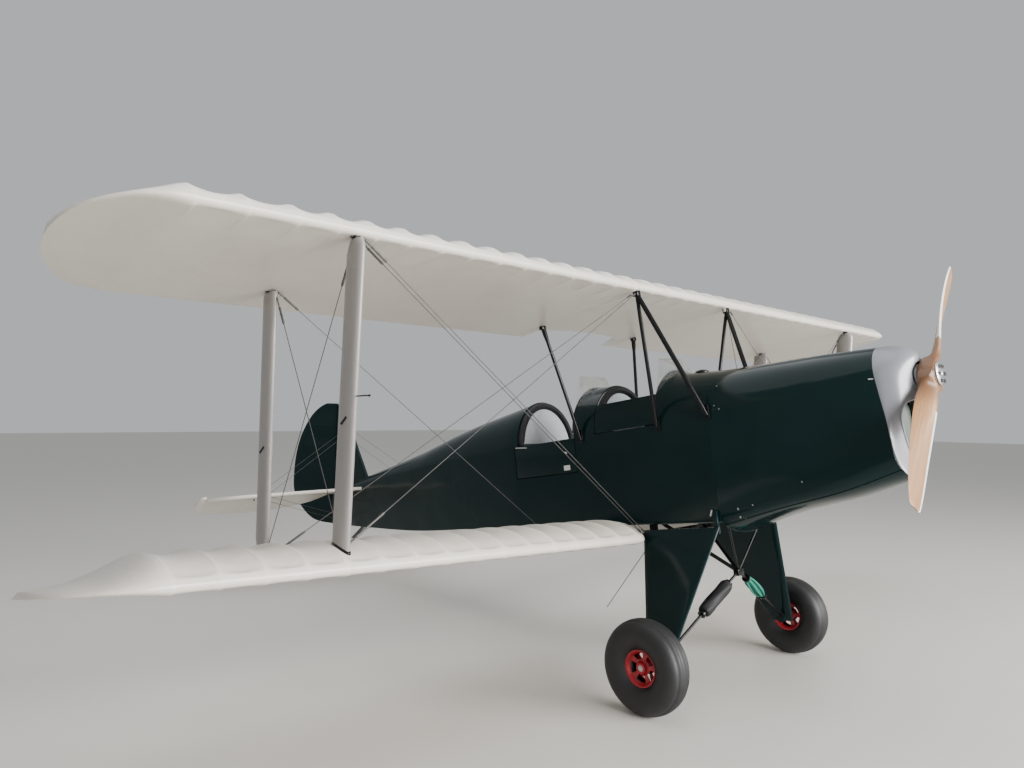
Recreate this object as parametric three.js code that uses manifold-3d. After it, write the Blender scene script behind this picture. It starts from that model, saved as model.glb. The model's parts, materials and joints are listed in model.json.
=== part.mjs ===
// A two-seat open-cockpit biplane with a tailwheel, parked on its gear.
// Millimetres and degrees. The airframe is drawn level, x forward, y to port and z up, from the
// middle of the main axle, and one group then sets it nose-up on its wheels.
import * as THREE from "three";
import { mergeVertices } from "three/addons/utils/BufferGeometryUtils.js";
import Module from "manifold-3d";

const wasm = await Module();
wasm.setup();

// Driving dimensions
const parkedPitch = 8.571;
const lengthCentre = 2105.2;
const fit = 0.3;
const wheelRadius = 273;
const wheelWidth = 190;
const halfTrack = 881;
const chord = 1200;
const dihedral = 0.04066;
const centreHalf = 550;
const lowerRoot = 430;
const upperUnder = 2278;
const lowerUnder = 650;
const lowerUnderAt = (y) => lowerUnder + Math.abs(y) * dihedral;
// Each wing: its nose and tip, and the slope of its flat underside through underAt at x = datum
const upperPlan = { front: 45, tip: 3785, slope: 0.03, datum: 10, underAt: () => upperUnder };
const lowerPlan = { front: -154, tip: 3845, slope: 0.018, datum: 120, underAt: lowerUnderAt };
const strutStation = 2657;
const bodyHalf = 332;
const longeron = 1425;
const wall = 18;
const sheet = 8;
const firewall = 273;
const frontRim = -120;
const frontSeatBack = -660;
const rearRim = -860;
const rearSeatBack = -1462;
const tubEnd = -1530;
const axleRadius = 16;
const propHub = new THREE.Vector3(1488, 0, 1482);
const propRadius = 922;
const propLean = 43;
const propRake = 24;
const rudderRest = 17.5;
const elevatorRest = 18;
const aileronRest = 8;
const hingeRake = 0.183;
const hingeFoot = new THREE.Vector3(-4860, 0, 1308);
const tailHingeX = -4790;
const tailplaneZ = 1280;
const tailWheelX = -4700;
const tailWheelRadius = 75;

// Colours and finishes
const finish = (color, roughness, metalness = 0) =>
  new THREE.MeshStandardMaterial({ color, roughness, metalness });
const green = finish(0x0c1f1c, 0.3);
const silver = finish(0xa9abb0, 0.4, 0.3);
const cream = finish(0xe9e2d4, 0.6);
const strutGrey = finish(0xb4aea9, 0.45, 0.2);
const blackTube = finish(0x111213, 0.35);
const rubber = finish(0x0b0b0d, 0.8);
const red = finish(0x8c1420, 0.4);
const wood = finish(0xb98a5a, 0.35);
const steel = finish(0x9a9da0, 0.35, 0.9);
const clear = new THREE.MeshStandardMaterial({
  color: 0xdfe8e2, roughness: 0.1, transparent: true, opacity: 0.3,
});
const felt = finish(0x8e9299, 0.95);

// Shape helpers
const at = (x, y, z) => new THREE.Vector3(x, y, z);
const radians = THREE.MathUtils.degToRad;
const lerp = THREE.MathUtils.lerp;
const across = at(0, 1, 0);

function solid(geometry) {
  const bare = geometry.clone();
  bare.deleteAttribute("normal");
  bare.deleteAttribute("uv");
  const merged = mergeVertices(bare, 1e-3);
  const position = merged.attributes.position;
  const triVerts = Uint32Array.from(merged.index.array);
  const corner = (i) => new THREE.Vector3().fromBufferAttribute(position, triVerts[i]);
  let volume = 0;
  for (let i = 0; i < triVerts.length; i += 3) {
    volume += corner(i).dot(corner(i + 1).cross(corner(i + 2)));
  }
  if (volume < 0) triVerts.reverse();
  const vertProperties = Float32Array.from(position.array);
  return new wasm.Manifold(new wasm.Mesh({ numProp: 3, vertProperties, triVerts }));
}

function geometryOf(body) {
  const shape = body.getMesh();
  const geometry = new THREE.BufferGeometry();
  geometry.setAttribute("position", new THREE.BufferAttribute(shape.vertProperties, 3));
  geometry.setIndex(new THREE.BufferAttribute(shape.triVerts, 1));
  geometry.computeVertexNormals();
  return geometry;
}

// A skin through rings of points, closed by a fan at each end
function loft(rings) {
  const count = rings[0].length;
  const points = rings.flat();
  const faces = [];
  for (let r = 0; r + 1 < rings.length; r += 1) {
    for (let i = 0; i < count; i += 1) {
      const a = r * count + i;
      const b = r * count + ((i + 1) % count);
      faces.push(a, b, b + count, a, b + count, a + count);
    }
  }
  [[0, 1], [rings.length - 1, -1]].forEach(([ring, side]) => {
    const middle = rings[ring].reduce((sum, p) => sum.add(p), at(0, 0, 0)).divideScalar(count);
    const hub = points.push(middle) - 1;
    for (let i = 0; i < count; i += 1) {
      const a = ring * count + i;
      const b = ring * count + ((i + 1) % count);
      faces.push(...(side > 0 ? [hub, b, a] : [hub, a, b]));
    }
  });
  const geometry = new THREE.BufferGeometry();
  const flat = points.flatMap((p) => [p.x, p.y, p.z]);
  geometry.setAttribute("position", new THREE.Float32BufferAttribute(flat, 3));
  geometry.setIndex(faces);
  return solid(geometry);
}

function box(x0, x1, y0, y1, z0, z1) {
  const size = [Math.abs(x1 - x0), Math.abs(y1 - y0), Math.abs(z1 - z0)];
  const geometry = new THREE.BoxGeometry(...size);
  geometry.translate((x0 + x1) / 2, (y0 + y1) / 2, (z0 + z1) / 2);
  return solid(geometry);
}

// A round rod between two points, tapered when its two radii differ
function rod(from, to, radius, sides = 10, endRadius = radius) {
  const along = to.clone().sub(from);
  const geometry = new THREE.CylinderGeometry(endRadius, radius, along.length(), sides);
  geometry.translate(0, along.length() / 2, 0);
  const turn = new THREE.Quaternion().setFromUnitVectors(across, along.normalize());
  geometry.applyQuaternion(turn);
  geometry.translate(from.x, from.y, from.z);
  return solid(geometry);
}

// A round body along a line. Columns of its profile: share of the way, radius
function spindle(from, to, profile, sides = 10) {
  const along = to.clone().sub(from);
  const turn = new THREE.Quaternion().setFromUnitVectors(across, along.clone().normalize());
  return loft(profile.map(([share, radius]) => Array.from({ length: sides }, (_, i) => {
    const a = (-2 * Math.PI * i) / sides;
    const spoke = at(radius * Math.cos(a), 0, radius * Math.sin(a)).applyQuaternion(turn);
    return from.clone().addScaledVector(along, share).add(spoke);
  })));
}

// A plate with its outline in the x-z plane, between two y values
function sidePlate(outline, y0, y1) {
  const depth = Math.abs(y1 - y0);
  const geometry = new THREE.ExtrudeGeometry(outline, { depth, bevelEnabled: false, curveSegments: 6 });
  geometry.rotateX(Math.PI / 2);
  geometry.translate(0, Math.max(y0, y1), 0);
  return solid(geometry);
}

// A plate with its outline in the x-y plane, between two z values
function flatPlate(outline, z0, z1) {
  const depth = z1 - z0;
  const geometry = new THREE.ExtrudeGeometry(outline, { depth, bevelEnabled: false, curveSegments: 6 });
  geometry.translate(0, 0, z0);
  return solid(geometry);
}

// A thin plate through corner points that lie in one plane, thickened along its normal
function panel(corners, thickness) {
  const u = corners[1].clone().sub(corners[0]);
  const v = corners[2].clone().sub(corners[0]);
  const normal = u.cross(v).normalize().multiplyScalar(thickness / 2);
  const shifted = (sign) => corners.map((p) => p.clone().addScaledVector(normal, sign));
  return loft([shifted(-1), shifted(1)]);
}

const joined = (bodies) => bodies.reduce((sum, body) => sum.add(body));
const mirrored = (body) => body.mirror([0, 1, 0]);
const moved = (body, x, y, z) => body.translate([x, y, z]);

// The largest piece that is left when neighbours are cut away, each moved by the fit towards it
function seated(body, ...pairs) {
  let left = body;
  pairs.forEach(([neighbour, [dx, dy, dz]]) => {
    left = left.subtract(neighbour).subtract(moved(neighbour, dx * fit, dy * fit, dz * fit));
  });
  const pieces = left.decompose();
  return pieces.reduce((best, piece) => (piece.volume() > best.volume() ? piece : best));
}
const up = [0, 0, 1];
const down = [0, 0, -1];
const outboard = [0, 1, 0];
const inboard = [0, -1, 0];

// A turn about an axis through a point, for pieces that rest off their middle
function turned(body, point, axis, degrees) {
  const turn = new THREE.Matrix4().makeRotationAxis(axis.clone().normalize(), radians(degrees));
  const there = new THREE.Matrix4().makeTranslation(point.x, point.y, point.z);
  const back = new THREE.Matrix4().makeTranslation(-point.x, -point.y, -point.z);
  return body.transform(there.multiply(turn).multiply(back).toArray());
}

// Scene graph: every mesh hangs on the level airframe, which the parked group pitches up
const aircraft = new THREE.Group();
const airframe = new THREE.Group();
airframe.rotation.y = -radians(parkedPitch);
airframe.position.set(lengthCentre, 0, wheelRadius);
aircraft.add(airframe);

function add(name, body, material) {
  const mesh = new THREE.Mesh(geometryOf(body), material);
  mesh.name = name;
  airframe.add(mesh);
  return body;
}

const sides = [["right", -1], ["left", 1]];
const onSide = (body, side) => (side < 0 ? mirrored(body) : body);

// Height, in the airframe's axes, at which a point of radius zero would touch the floor
const floorAt = (x) => (-wheelRadius - x * Math.sin(radians(parkedPitch))) / Math.cos(radians(parkedPitch));

// Fuselage sections

// One ring of the body: a half-ellipse deck, flat sides and a curved or flat belly.
// lean tips the section, in mm of x for each mm of height above the level of its top.
function bodyRing({ x, half, top, shoulder, corner, bottom, lean = 0 }, inset = 0) {
  const points = [];
  const deck = 10;
  const belly = 6;
  const w = half - inset;
  for (let i = 0; i <= deck; i += 1) {
    const a = (Math.PI * i) / deck;
    points.push([w * Math.cos(a), shoulder + (top - inset - shoulder) * Math.sin(a)]);
  }
  for (let i = 0; i <= belly; i += 1) {
    const a = (Math.PI * i) / belly;
    points.push([-w * Math.cos(a), corner - (corner - bottom - inset) * Math.sin(a)]);
  }
  return points.map(([y, z]) => at(x + lean * (top - z), y, z));
}

const sectionFields = ["x", "half", "top", "shoulder", "corner", "bottom", "lean"];
const section = (row) => Object.fromEntries(sectionFields.map((field, i) => [field, row[i]]));

// Columns: x, half width, deck top, shoulder, belly corner, belly bottom, lean
const cowlSections = [
  [1250, 212, 1688, 1480, 1070, 932, 0.11],
  [950, 262, 1708, 1452, 960, 850, 0.07],
  [600, 302, 1724, 1434, 880, 783, 0.03],
  [firewall + fit, bodyHalf, 1738, longeron, 830, 683, 0],
].map(section);

// Columns: x, half width, turtledeck top, shoulder, bottom corner, bottom, lean
const tailSections = [
  [tubEnd - fit, bodyHalf, 1779, longeron, 800, 786, 0],
  [-2366, 262, 1675, 1398, 806, 792, 0],
  [-3095, 196, 1543, 1370, 814, 800, 0],
  [-4095, 106, 1405, 1322, 876, 866, 0],
  [-4832, 34, 1296, 1272, 940, 934, -hingeRake],
].map(section);

const tubBottom = (x) => lerp(762, 786, (firewall - x) / (firewall - tubEnd));

// Centre of the fuselage: floor, sides, firewall and seat bulkheads, open above
const rearDoor = { front: -853, back: -1500, low: 1170 };
const frontDoor = { front: frontRim - 8, back: frontSeatBack + 6, high: 1635 };
const spars = { upperFront: 10, upperRear: -865, lowerFront: -264, lowerRear: -1094 };
const sparTube = 19;
const sparTubeZ = { front: 705, rear: 671 };
const seatShelf = 904;
const frontCushion = -240;
const rearCushion = -1060;
const stickFeet = { front: -200, rear: -1020 };
const controlTubeZ = 850;
const controlTubeRadius = 12;

// Knuckles along a door's lower edge: the body holds short pins that the door's knuckles turn on
const knuckle = { radius: 7, pin: 3, bore: 4.2, long: 30, plate: 3 };

function doorHinges(door, low, onBody) {
  const y = -bodyHalf - knuckle.radius;
  const half = knuckle.long / 2;
  const barrel = (x, x2, radius) => rod(at(x, y, low), at(x2, y, low), radius, 6);
  const pieces = [door.front - 60, door.back + 60].flatMap((x) => {
    const strip = (x0, x1, z0, z1) => box(x0, x1, y + 1, -bodyHalf + 2, z0, z1)
      .subtract(box(x0 - 1, x1 + 1, y, -bodyHalf - knuckle.plate, z0, z1));
    if (onBody) {
      return [
        barrel(x - half, x + half, knuckle.radius),
        barrel(x - half - 20, x + half + 20, knuckle.pin),
        strip(x - half, x + half, low - 30, low - 4),
        box(x - half, x + half, y, -bodyHalf + 2, low - 6, low),
      ];
    }
    return [-1, 1].flatMap((s) => {
      const [x0, x1] = [x + s * (half + fit), x + s * (half + 22)];
      return [
        barrel(x0, x1, knuckle.radius).subtract(barrel(x0 - 30 * s, x1 + 30 * s, knuckle.bore)),
        box(x0, x1, y + knuckle.bore, -bodyHalf + 4, low + 5, low + 12),
        box(x0, x1, y + 3, y + knuckle.radius, low + knuckle.bore, low + 12),
      ];
    });
  });
  return joined(pieces);
}

function makeTub() {
  const hull = (inset, floor, x0, x1, top) => loft([x0, x1].map((x) => {
    const w = bodyHalf - inset;
    const z = tubBottom(x) + floor;
    const cut = 24;
    return [[w, top], [w, z + cut], [w - cut, z], [-(w - cut), z], [-w, z + cut], [-w, top]]
      .map(([y, height]) => at(x, y, height));
  }));
  const floorDepth = 40;
  const inner = bodyHalf - 4;
  let tub = hull(0, 0, tubEnd, firewall, longeron);
  tub = tub.subtract(hull(wall, floorDepth, tubEnd + wall, firewall - wall, longeron + 50));
  [frontSeatBack, rearSeatBack].forEach((x) => {
    tub = tub.add(box(x - wall, x, -inner, inner, tubBottom(x) + floorDepth / 2, longeron));
  });
  // The rear door takes the top of the right side
  const doorWall = -bodyHalf + wall + 2;
  const aboveTub = longeron + 20;
  tub = tub.subtract(
    box(rearDoor.back, rearDoor.front, -bodyHalf - 20, doorWall, rearDoor.low, aboveTub));
  // Seat shelves, bearings for the control tube, and its hole in the bulkhead
  [[frontCushion, frontSeatBack], [rearCushion, rearSeatBack]].forEach(([x0, x1]) => {
    tub = tub.add(box(x1 - 2, x0, -inner, inner, seatShelf - wall, seatShelf));
  });
  const bearing = { half: 15, side: 25, top: controlTubeZ - controlTubeRadius - fit };
  [stickFeet.front - 70, stickFeet.rear + 70].forEach((x) => {
    const low = tubBottom(x) + floorDepth - 10;
    tub = tub.add(box(x - bearing.half, x + bearing.half, -bearing.side, bearing.side, low, bearing.top));
  });
  const tubeHole = 24;
  const onTube = (x) => at(x, 0, controlTubeZ);
  tub = tub.subtract(rod(onTube(frontSeatBack + 60), onTube(frontSeatBack - 60), tubeHole, 8));
  [[rearDoor, rearDoor.low], [frontDoor, longeron]].forEach(([door, low]) => {
    tub = tub.add(doorHinges(door, low, true));
  });
  return tub;
}

// Tube that carries a lower wing spar across, hung under the floor on two plates
function makeSparTube(x, z) {
  const tube = rod(at(x, -lowerRoot + fit, z), at(x, lowerRoot - fit, z), sparTube, 8);
  const half = 30;
  const [inner, outer] = [bodyHalf - 46, bodyHalf - 34];
  const hanger = (s) => box(x - half, x + half, s * inner, s * outer, z - 10, tubBottom(x - half));
  return joined([tube, hanger(-1), hanger(1)]);
}

// Deck in front of the pilots: an arch on the longerons, with the fixed left coaming
const deckTops = [[firewall, 1738], [-20, 1772], [frontRim, 1800]];
const archRing = (x, top, inset) => {
  const points = [];
  const steps = 10;
  const rise = top - inset - longeron;
  for (let i = 0; i <= steps; i += 1) {
    const a = (Math.PI * i) / steps;
    points.push(at(x, (bodyHalf - inset) * Math.cos(a), longeron + fit + rise * Math.sin(a)));
  }
  return points;
};
const arch = (stations, inset) => loft(stations.map(([x, top]) => archRing(x, top, inset)));
// An arch shell, open below and at both ends
function archShell(stations, thickness) {
  const outer = arch(stations, 0);
  const [first, last] = [stations[0], stations.at(-1)];
  const past = [[first[0] + 5, first[1]], ...stations.slice(1, -1), [last[0] - 5, last[1]]];
  const inner = arch(past, thickness);
  return outer.subtract(inner.add(moved(inner, 0, 0, -20)));
}

const coamingTop = 1800;
const coaming = archShell([[frontRim, coamingTop], [frontSeatBack + fit, coamingTop]], sheet + 2);

function makeFrontDeck() {
  const shell = archShell(deckTops, sheet + 2);
  const panelBoard = arch([[frontRim + 34, 1796], [frontRim + 24, 1798]], sheet);
  const below = box(0, frontSeatBack - 50, 0, -bodyHalf - 50, longeron - 50, 1900);
  const above = box(frontRim, frontSeatBack - 50, -400, 400, frontDoor.high, 1900);
  const leftSide = coaming.subtract(below).subtract(above);
  return shell.add(panelBoard).add(leftSide);
}

function makeFrontDoor() {
  const slice = box(frontDoor.front, frontDoor.back, -bodyHalf - 20, 0, longeron + 6, frontDoor.high);
  const inner = box(frontDoor.front, frontDoor.back, -180, 50, longeron, 2000);
  return coaming.intersect(slice).subtract(inner).add(doorHinges(frontDoor, longeron, false));
}

function makeRearDoor() {
  const gap = 5;
  const [back, front, low] = [rearDoor.back + gap, rearDoor.front - gap, rearDoor.low + gap];
  const slab = box(back, front, -bodyHalf, -bodyHalf + wall, low, longeron);
  return slab.add(doorHinges(rearDoor, rearDoor.low, false));
}

// Two control sticks on one tube along the floor
function makeControlColumns() {
  const profile = [[0, 10], [0.74, 10], [0.76, 16], [1, 15]];
  const stick = (x) => spindle(at(x, 0, controlTubeZ), at(x + 16, 0, 1200), profile, 8);
  const ends = [stickFeet.front + 24, stickFeet.rear - 24].map((x) => at(x, 0, controlTubeZ));
  const tube = rod(...ends, controlTubeRadius, 8);
  return joined([tube, stick(stickFeet.front), stick(stickFeet.rear)]);
}

// Hump between the cockpits: the front seat's back and the rear instrument board
function makeMidDeck() {
  const stations = [[frontSeatBack - fit, coamingTop - 6], [rearRim, coamingTop]];
  const shell = archShell(stations, sheet + 2);
  const backRest = arch([[frontSeatBack - fit, coamingTop - 6], [frontSeatBack - wall, coamingTop - 6]], 3);
  const board = arch([[rearRim + 34, coamingTop - 2], [rearRim + 24, coamingTop - 2]], sheet);
  return shell.add(backRest).add(board);
}

// Folded windscreen of three clear panes, standing on a deck's rear rim
function makeWindscreen(rim) {
  const foot = (s) => at(rim + 58, s * 134, 1757);
  const head = (s) => at(rim - 36, s * 154, 1904);
  const side = (s) => at(rim + 12, s * 288, 1648);
  const thick = 5;
  const front = panel([foot(-1), foot(1), head(1), head(-1)], thick);
  return joined([front, ...[1, -1].map((s) => panel([foot(s), head(s), side(s)], thick))]);
}

const tub = makeTub();
const frontDeck = makeFrontDeck();
const midDeck = makeMidDeck();

// Cowling: an upper hood, a belly tray below it, and the nose bowl ahead
const seamHigh = 0.42;
const cowlLoft = (inset, stretch) => {
  const first = { ...cowlSections[0], x: cowlSections[0].x + stretch };
  const last = { ...cowlSections.at(-1), x: cowlSections.at(-1).x - stretch };
  return loft([first, ...cowlSections.slice(1, -1), last].map((row) => bodyRing(row, inset)));
};
const cowlShell = cowlLoft(0, 0).subtract(cowlLoft(sheet, 6));
// The seam between hood and tray follows the belly corner
function seamBlock(gap) {
  const rows = cowlSections.map(({ x, corner, bottom }) => [x, lerp(bottom, corner, seamHigh)]);
  const [wide, deep] = [500, 900];
  const corners = (z) => [[-wide, z + gap], [wide, z + gap], [wide, z - deep], [-wide, z - deep]];
  const ring = (x, z) => corners(z).map(([y, height]) => at(x, y, height));
  const first = ring(rows[0][0] + 400, rows[0][1] + 50);
  const rest = rows.map(([x, z]) => ring(x, z));
  const last = ring(rows.at(-1)[0] - 100, rows.at(-1)[1]);
  return loft([first, ...rest, last]);
}
const hood = cowlShell.subtract(seamBlock(fit));
const tray = cowlShell.intersect(seamBlock(0));

// The bowl narrows towards a front face that leans back below the shaft, with less of a curve at
// its chin. The face has a round gap for the shaft and an egg-shaped intake, blunt end up.
const bowl = { front: 1445, shrink: 0.25, chin: 0.12, level: 1370, slope: 0.19, middle: 1310 };
const shaftGap = 92;
const intake = { top: 1365, wide: 1305, low: 1010, half: 142, foot: 70 };

function bowlLoft(inset) {
  const base = bodyRing(cowlSections[0], inset);
  return loft([0, 0.5, 0.85, 1].map((t) => {
    const drop = 1 - Math.sqrt(1 - t * t);
    return base.map((p) => {
      const shrink = p.z < bowl.middle ? bowl.chin : bowl.shrink;
      const z = bowl.middle + (p.z - bowl.middle) * (1 - shrink * drop);
      const front = bowl.front - bowl.slope * Math.max(0, bowl.level - z);
      return at(lerp(p.x, front - inset, t), p.y * (1 - bowl.shrink * drop), z);
    });
  }));
}

function makeNoseBowl() {
  const [back, ahead] = [1280, 1500];
  const shell = moved(bowlLoft(0), fit, 0, 0).subtract(moved(bowlLoft(sheet), -1, 0, 0));
  const gap = rod(at(1380, 0, propHub.z), at(ahead, 0, propHub.z), shaftGap, 16);
  const egg = new THREE.Shape();
  egg.moveTo(0, intake.low);
  egg.quadraticCurveTo(intake.foot, intake.low, intake.foot + 25, intake.low + 60);
  egg.quadraticCurveTo(intake.half, 1180, intake.half, intake.wide);
  egg.quadraticCurveTo(intake.half, intake.top, 0, intake.top);
  egg.quadraticCurveTo(-intake.half, intake.top, -intake.half, intake.wide);
  egg.quadraticCurveTo(-intake.half, 1180, -intake.foot - 25, intake.low + 60);
  egg.quadraticCurveTo(-intake.foot, intake.low, 0, intake.low);
  const depth = ahead - back;
  const cutter = new THREE.ExtrudeGeometry(egg, { depth, bevelEnabled: false, curveSegments: 4 });
  cutter.applyMatrix4(new THREE.Matrix4().makeBasis(at(0, 1, 0), at(0, 0, 1), at(1, 0, 0)));
  cutter.translate(back, 0, 0);
  return shell.subtract(gap).subtract(solid(cutter));
}
const noseBowl = makeNoseBowl();

// Engine: one block on two bearers from the firewall, with the propeller shaft
const shaft = { back: 1150, housing: 1400, housingRadius: 84, radius: 18, end: propHub.x + 30 };
const onShaft = (x) => at(x, 0, propHub.z);
const engine = joined([
  box(560, 1190, -165, 165, 1130, 1590),
  ...[-1, 1].map((s) => box(firewall + fit, 600, s * 110, s * 150, 1200, 1240)),
  rod(onShaft(shaft.back), onShaft(shaft.housing), shaft.housingRadius, 16),
  rod(onShaft(shaft.back), onShaft(shaft.end), shaft.radius, 12),
]);

// Propeller: two lofted blades on a boss, with a bolted plate in front

// Columns: radius, chord, thickness
const bladeStations = [
  [0, 104, 88],
  [60, 108, 86],
  [150, 118, 56],
  [280, 136, 36],
  [440, 148, 26],
  [620, 146, 19],
  [780, 126, 14],
  [880, 96, 10],
  [propRadius, 52, 7],
];
const propPitch = 1050;

// Columns: share of the chord from the middle, share of the thickness
const bladeOutline = [
  [0.5, 0], [0.3, 0.42], [0, 0.5], [-0.3, 0.36], [-0.5, 0.04], [-0.3, -0.3], [0, -0.42], [0.3, -0.36],
];

function makeBlade(sign) {
  const lean = radians(propLean);
  const outward = at(0, Math.sin(lean), Math.cos(lean)).multiplyScalar(sign);
  const travel = at(1, 0, 0).cross(outward);
  return loft(bladeStations.map(([radius, width, thick]) => {
    const twist = Math.atan2(propPitch, 2 * Math.PI * Math.max(radius, 190));
    const chordWise = travel.clone().multiplyScalar(Math.cos(twist)).add(at(Math.sin(twist), 0, 0));
    const normal = chordWise.clone().cross(outward).normalize();
    const centre = propHub.clone().addScaledVector(outward, radius);
    centre.x += propRake * (radius / propRadius) ** 3;
    return bladeOutline.map(([c, t]) =>
      centre.clone().addScaledVector(chordWise, c * width).addScaledVector(normal, t * thick));
  }));
}

const hub = { half: 44, radius: 78, plate: 12, plateRadius: 70 };
const [hubBack, hubFront] = [propHub.x - hub.half, propHub.x + hub.half];
const shaftHole = rod(onShaft(hubBack - 40), onShaft(hubFront + 100), shaft.radius + 2 * fit, 12);
const propeller = joined([
  makeBlade(1),
  makeBlade(-1),
  rod(onShaft(hubBack), onShaft(hubFront), hub.radius, 20),
]).intersect(box(hubBack, hubFront, -1000, 1000, 400, 2600)).subtract(shaftHole);
const hubPlate = rod(onShaft(hubFront + fit), onShaft(hubFront + hub.plate), hub.plateRadius, 20);

// Wings

// Flat-bottomed section. Columns: share of chord from the nose, upper and lower heights
const aerofoil = [
  [0.000, 0.026, 0.026],
  [0.018, 0.058, 0.008],
  [0.060, 0.090, 0.002],
  [0.150, 0.124, 0.000],
  [0.300, 0.143, 0.000],
  [0.500, 0.129, 0.000],
  [0.700, 0.089, 0.000],
  [0.880, 0.036, 0.000],
  [1.000, 0.006, 0.000],
];
// How far the underside of a thinned section rises towards the wing's tip
const tipRise = 28;

function wingRing(plan, y, noseTrim, tailTrim, fullness) {
  const front = plan.front - noseTrim;
  const length = chord - noseTrim - tailTrim;
  const point = (share, height) => {
    const x = front - share * length;
    const under = plan.underAt(y) + (x - plan.datum) * plan.slope;
    return at(x, y, under + tipRise * (1 - fullness) + height * chord * fullness);
  };
  const upper = aerofoil.map(([share, high]) => point(share, high));
  const lower = aerofoil.slice(1).reverse().map(([share, , low]) => point(share, low));
  return [...upper, ...lower];
}

// Columns: distance in from the tip, nose and tail trimmed from the plain chord, fullness
const tipStations = [
  [455, 0, 0, 1],
  [305, 8, 6, 0.82],
  [185, 70, 50, 0.48],
  [95, 175, 196, 0.32],
  [40, 285, 337, 0.24],
  [0, 515, 560, 0.15],
];

function outerWing(plan, inner) {
  const rows = [...inner, ...tipStations.map(([inset, ...rest]) => [plan.tip - inset, ...rest])];
  return loft(rows.map((row) => wingRing(plan, ...row)));
}

const upperOuter = outerWing(upperPlan, [[centreHalf + fit / 2, 0, 0, 1]]);
const lowerOuter = outerWing(
  lowerPlan,
  [[lowerRoot, 110, 30, 0.92], [480, 60, 10, 0.98], [570, 0, 0, 1]],
);

// Middle of the upper wing, its rear edge cut back in a flat arch over the cockpits
function makeCentreSection() {
  const half = centreHalf - fit / 2;
  const section = loft([-half, half].map((y) => wingRing(upperPlan, y, 0, 0, 1)));
  const notch = new THREE.Shape();
  const [behind, corner, crown, reach] = [-1300, -965, -880, 475];
  notch.moveTo(behind, -reach);
  notch.lineTo(corner, -reach);
  notch.quadraticCurveTo(2 * crown - corner, 0, corner, reach);
  notch.lineTo(behind, reach);
  return section.subtract(flatPlate(notch, 2150, 2600));
}
const centreSection = makeCentreSection();

// Hinges: lugs with a pin on the carrier, and a slot with a bore in what turns
const lug = { width: 8, slot: 13, pin: 5.3, bore: 6.8, pinLength: 28 };

function hingeParts(point, axis, towards, reach, clearance) {
  const a = axis.clone().normalize();
  const t = towards.clone().normalize();
  const upright = a.clone().cross(t).normalize();
  const disc = (radius, width, n) => {
    const [from, to] = [-width / 2, width / 2].map((d) => point.clone().addScaledVector(a, d));
    return rod(from, to, radius, n);
  };
  const half = 9;
  const corners = [[-half, -half], [reach, -half], [reach, half], [-half, half]];
  const slab = loft([-lug.width / 2, lug.width / 2].map((d) => corners.map(([u, v]) =>
    point.clone().addScaledVector(t, u).addScaledVector(upright, v).addScaledVector(a, d))));
  const carrier = slab.add(disc(lug.pin, lug.pinLength, 6));
  const slot = disc(clearance / Math.cos(Math.PI / 8), lug.slot, 8);
  const cut = slot.add(disc(lug.bore, lug.pinLength + 2, 6));
  return { carrier, cut };
}

// Aileron: cut from the lower wing's rear edge, with a round nose in a cove
const aileronHinge = -1165;
const aileronInner = 1750;
const aileronOuter = 3330;
const aileronRise = 27 + (aileronHinge - lowerPlan.datum) * lowerPlan.slope;
const aileronStart = at(aileronHinge, aileronInner, lowerUnderAt(aileronInner) + aileronRise);
const aileronEnd = at(aileronHinge, aileronOuter, lowerUnderAt(aileronOuter) + aileronRise);
const aileronAxis = aileronEnd.clone().sub(aileronStart).normalize();
const aileronPoint = (y) =>
  aileronStart.clone().lerp(aileronEnd, (y - aileronInner) / (aileronOuter - aileronInner));

function makeLowerWing() {
  const noseRadius = 25;
  const coveRadius = 34;
  const gap = 6;
  const past = (p, d) => p.clone().addScaledVector(aileronAxis, d);
  const behind = (more) =>
    box(aileronHinge, aileronHinge - 335, aileronInner - more, aileronOuter + more, 400, 1100);
  const cove = rod(past(aileronStart, -gap), past(aileronEnd, gap), coveRadius, 12).add(behind(gap));
  const nose = rod(aileronStart, aileronEnd, noseRadius, 12);
  let flap = lowerOuter.intersect(nose.add(behind(0)));
  let wing = lowerOuter.subtract(cove);
  [1980, 3080].forEach((y) => {
    const { carrier, cut } = hingeParts(aileronPoint(y), aileronAxis, at(1, 0, 0), 50, 29);
    wing = wing.add(carrier.subtract(box(-2000, 2000, y - 100, y + 100, aileronPoint(y).z + 26, 1500)));
    flap = flap.subtract(cut);
  });
  return { wing, flap };
}
const { wing: lowerWingLeft, flap: aileronNeutral } = makeLowerWing();

// Interplane struts: streamlined posts with a lug at each end. The front one meets the lower wing
// at its full width. Columns of head and foot: distance from that end, share of the width.
const lowerTopAt = (y) => lowerUnderAt(y) + 130;
const strutRows = {
  front: {
    from: at(spars.upperFront, strutStation, upperUnder),
    to: at(-285, strutStation, lowerTopAt(strutStation)),
    head: [[12, 0.7], [60, 1]],
    foot: [[-70, 1]],
  },
  rear: {
    from: at(spars.upperRear, strutStation, upperUnder - 26),
    to: at(-1105, strutStation, lowerTopAt(strutStation) - 54),
    head: [[12, 0.9], [30, 1]],
    foot: [[110, 1], [50, 0.55]],
  },
};
const strutWidth = 150;
const strutThick = 44;
// Columns: share of the width from the middle, share of the thickness
const strutOutline = [
  [0.5, 0], [0.36, 0.36], [0.12, 0.5], [-0.2, 0.4], [-0.5, 0], [-0.2, -0.4], [0.12, -0.5], [0.36, -0.36],
];
const lugOutline = [[22, 5], [-22, 5], [-22, -5], [22, -5]];

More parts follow.
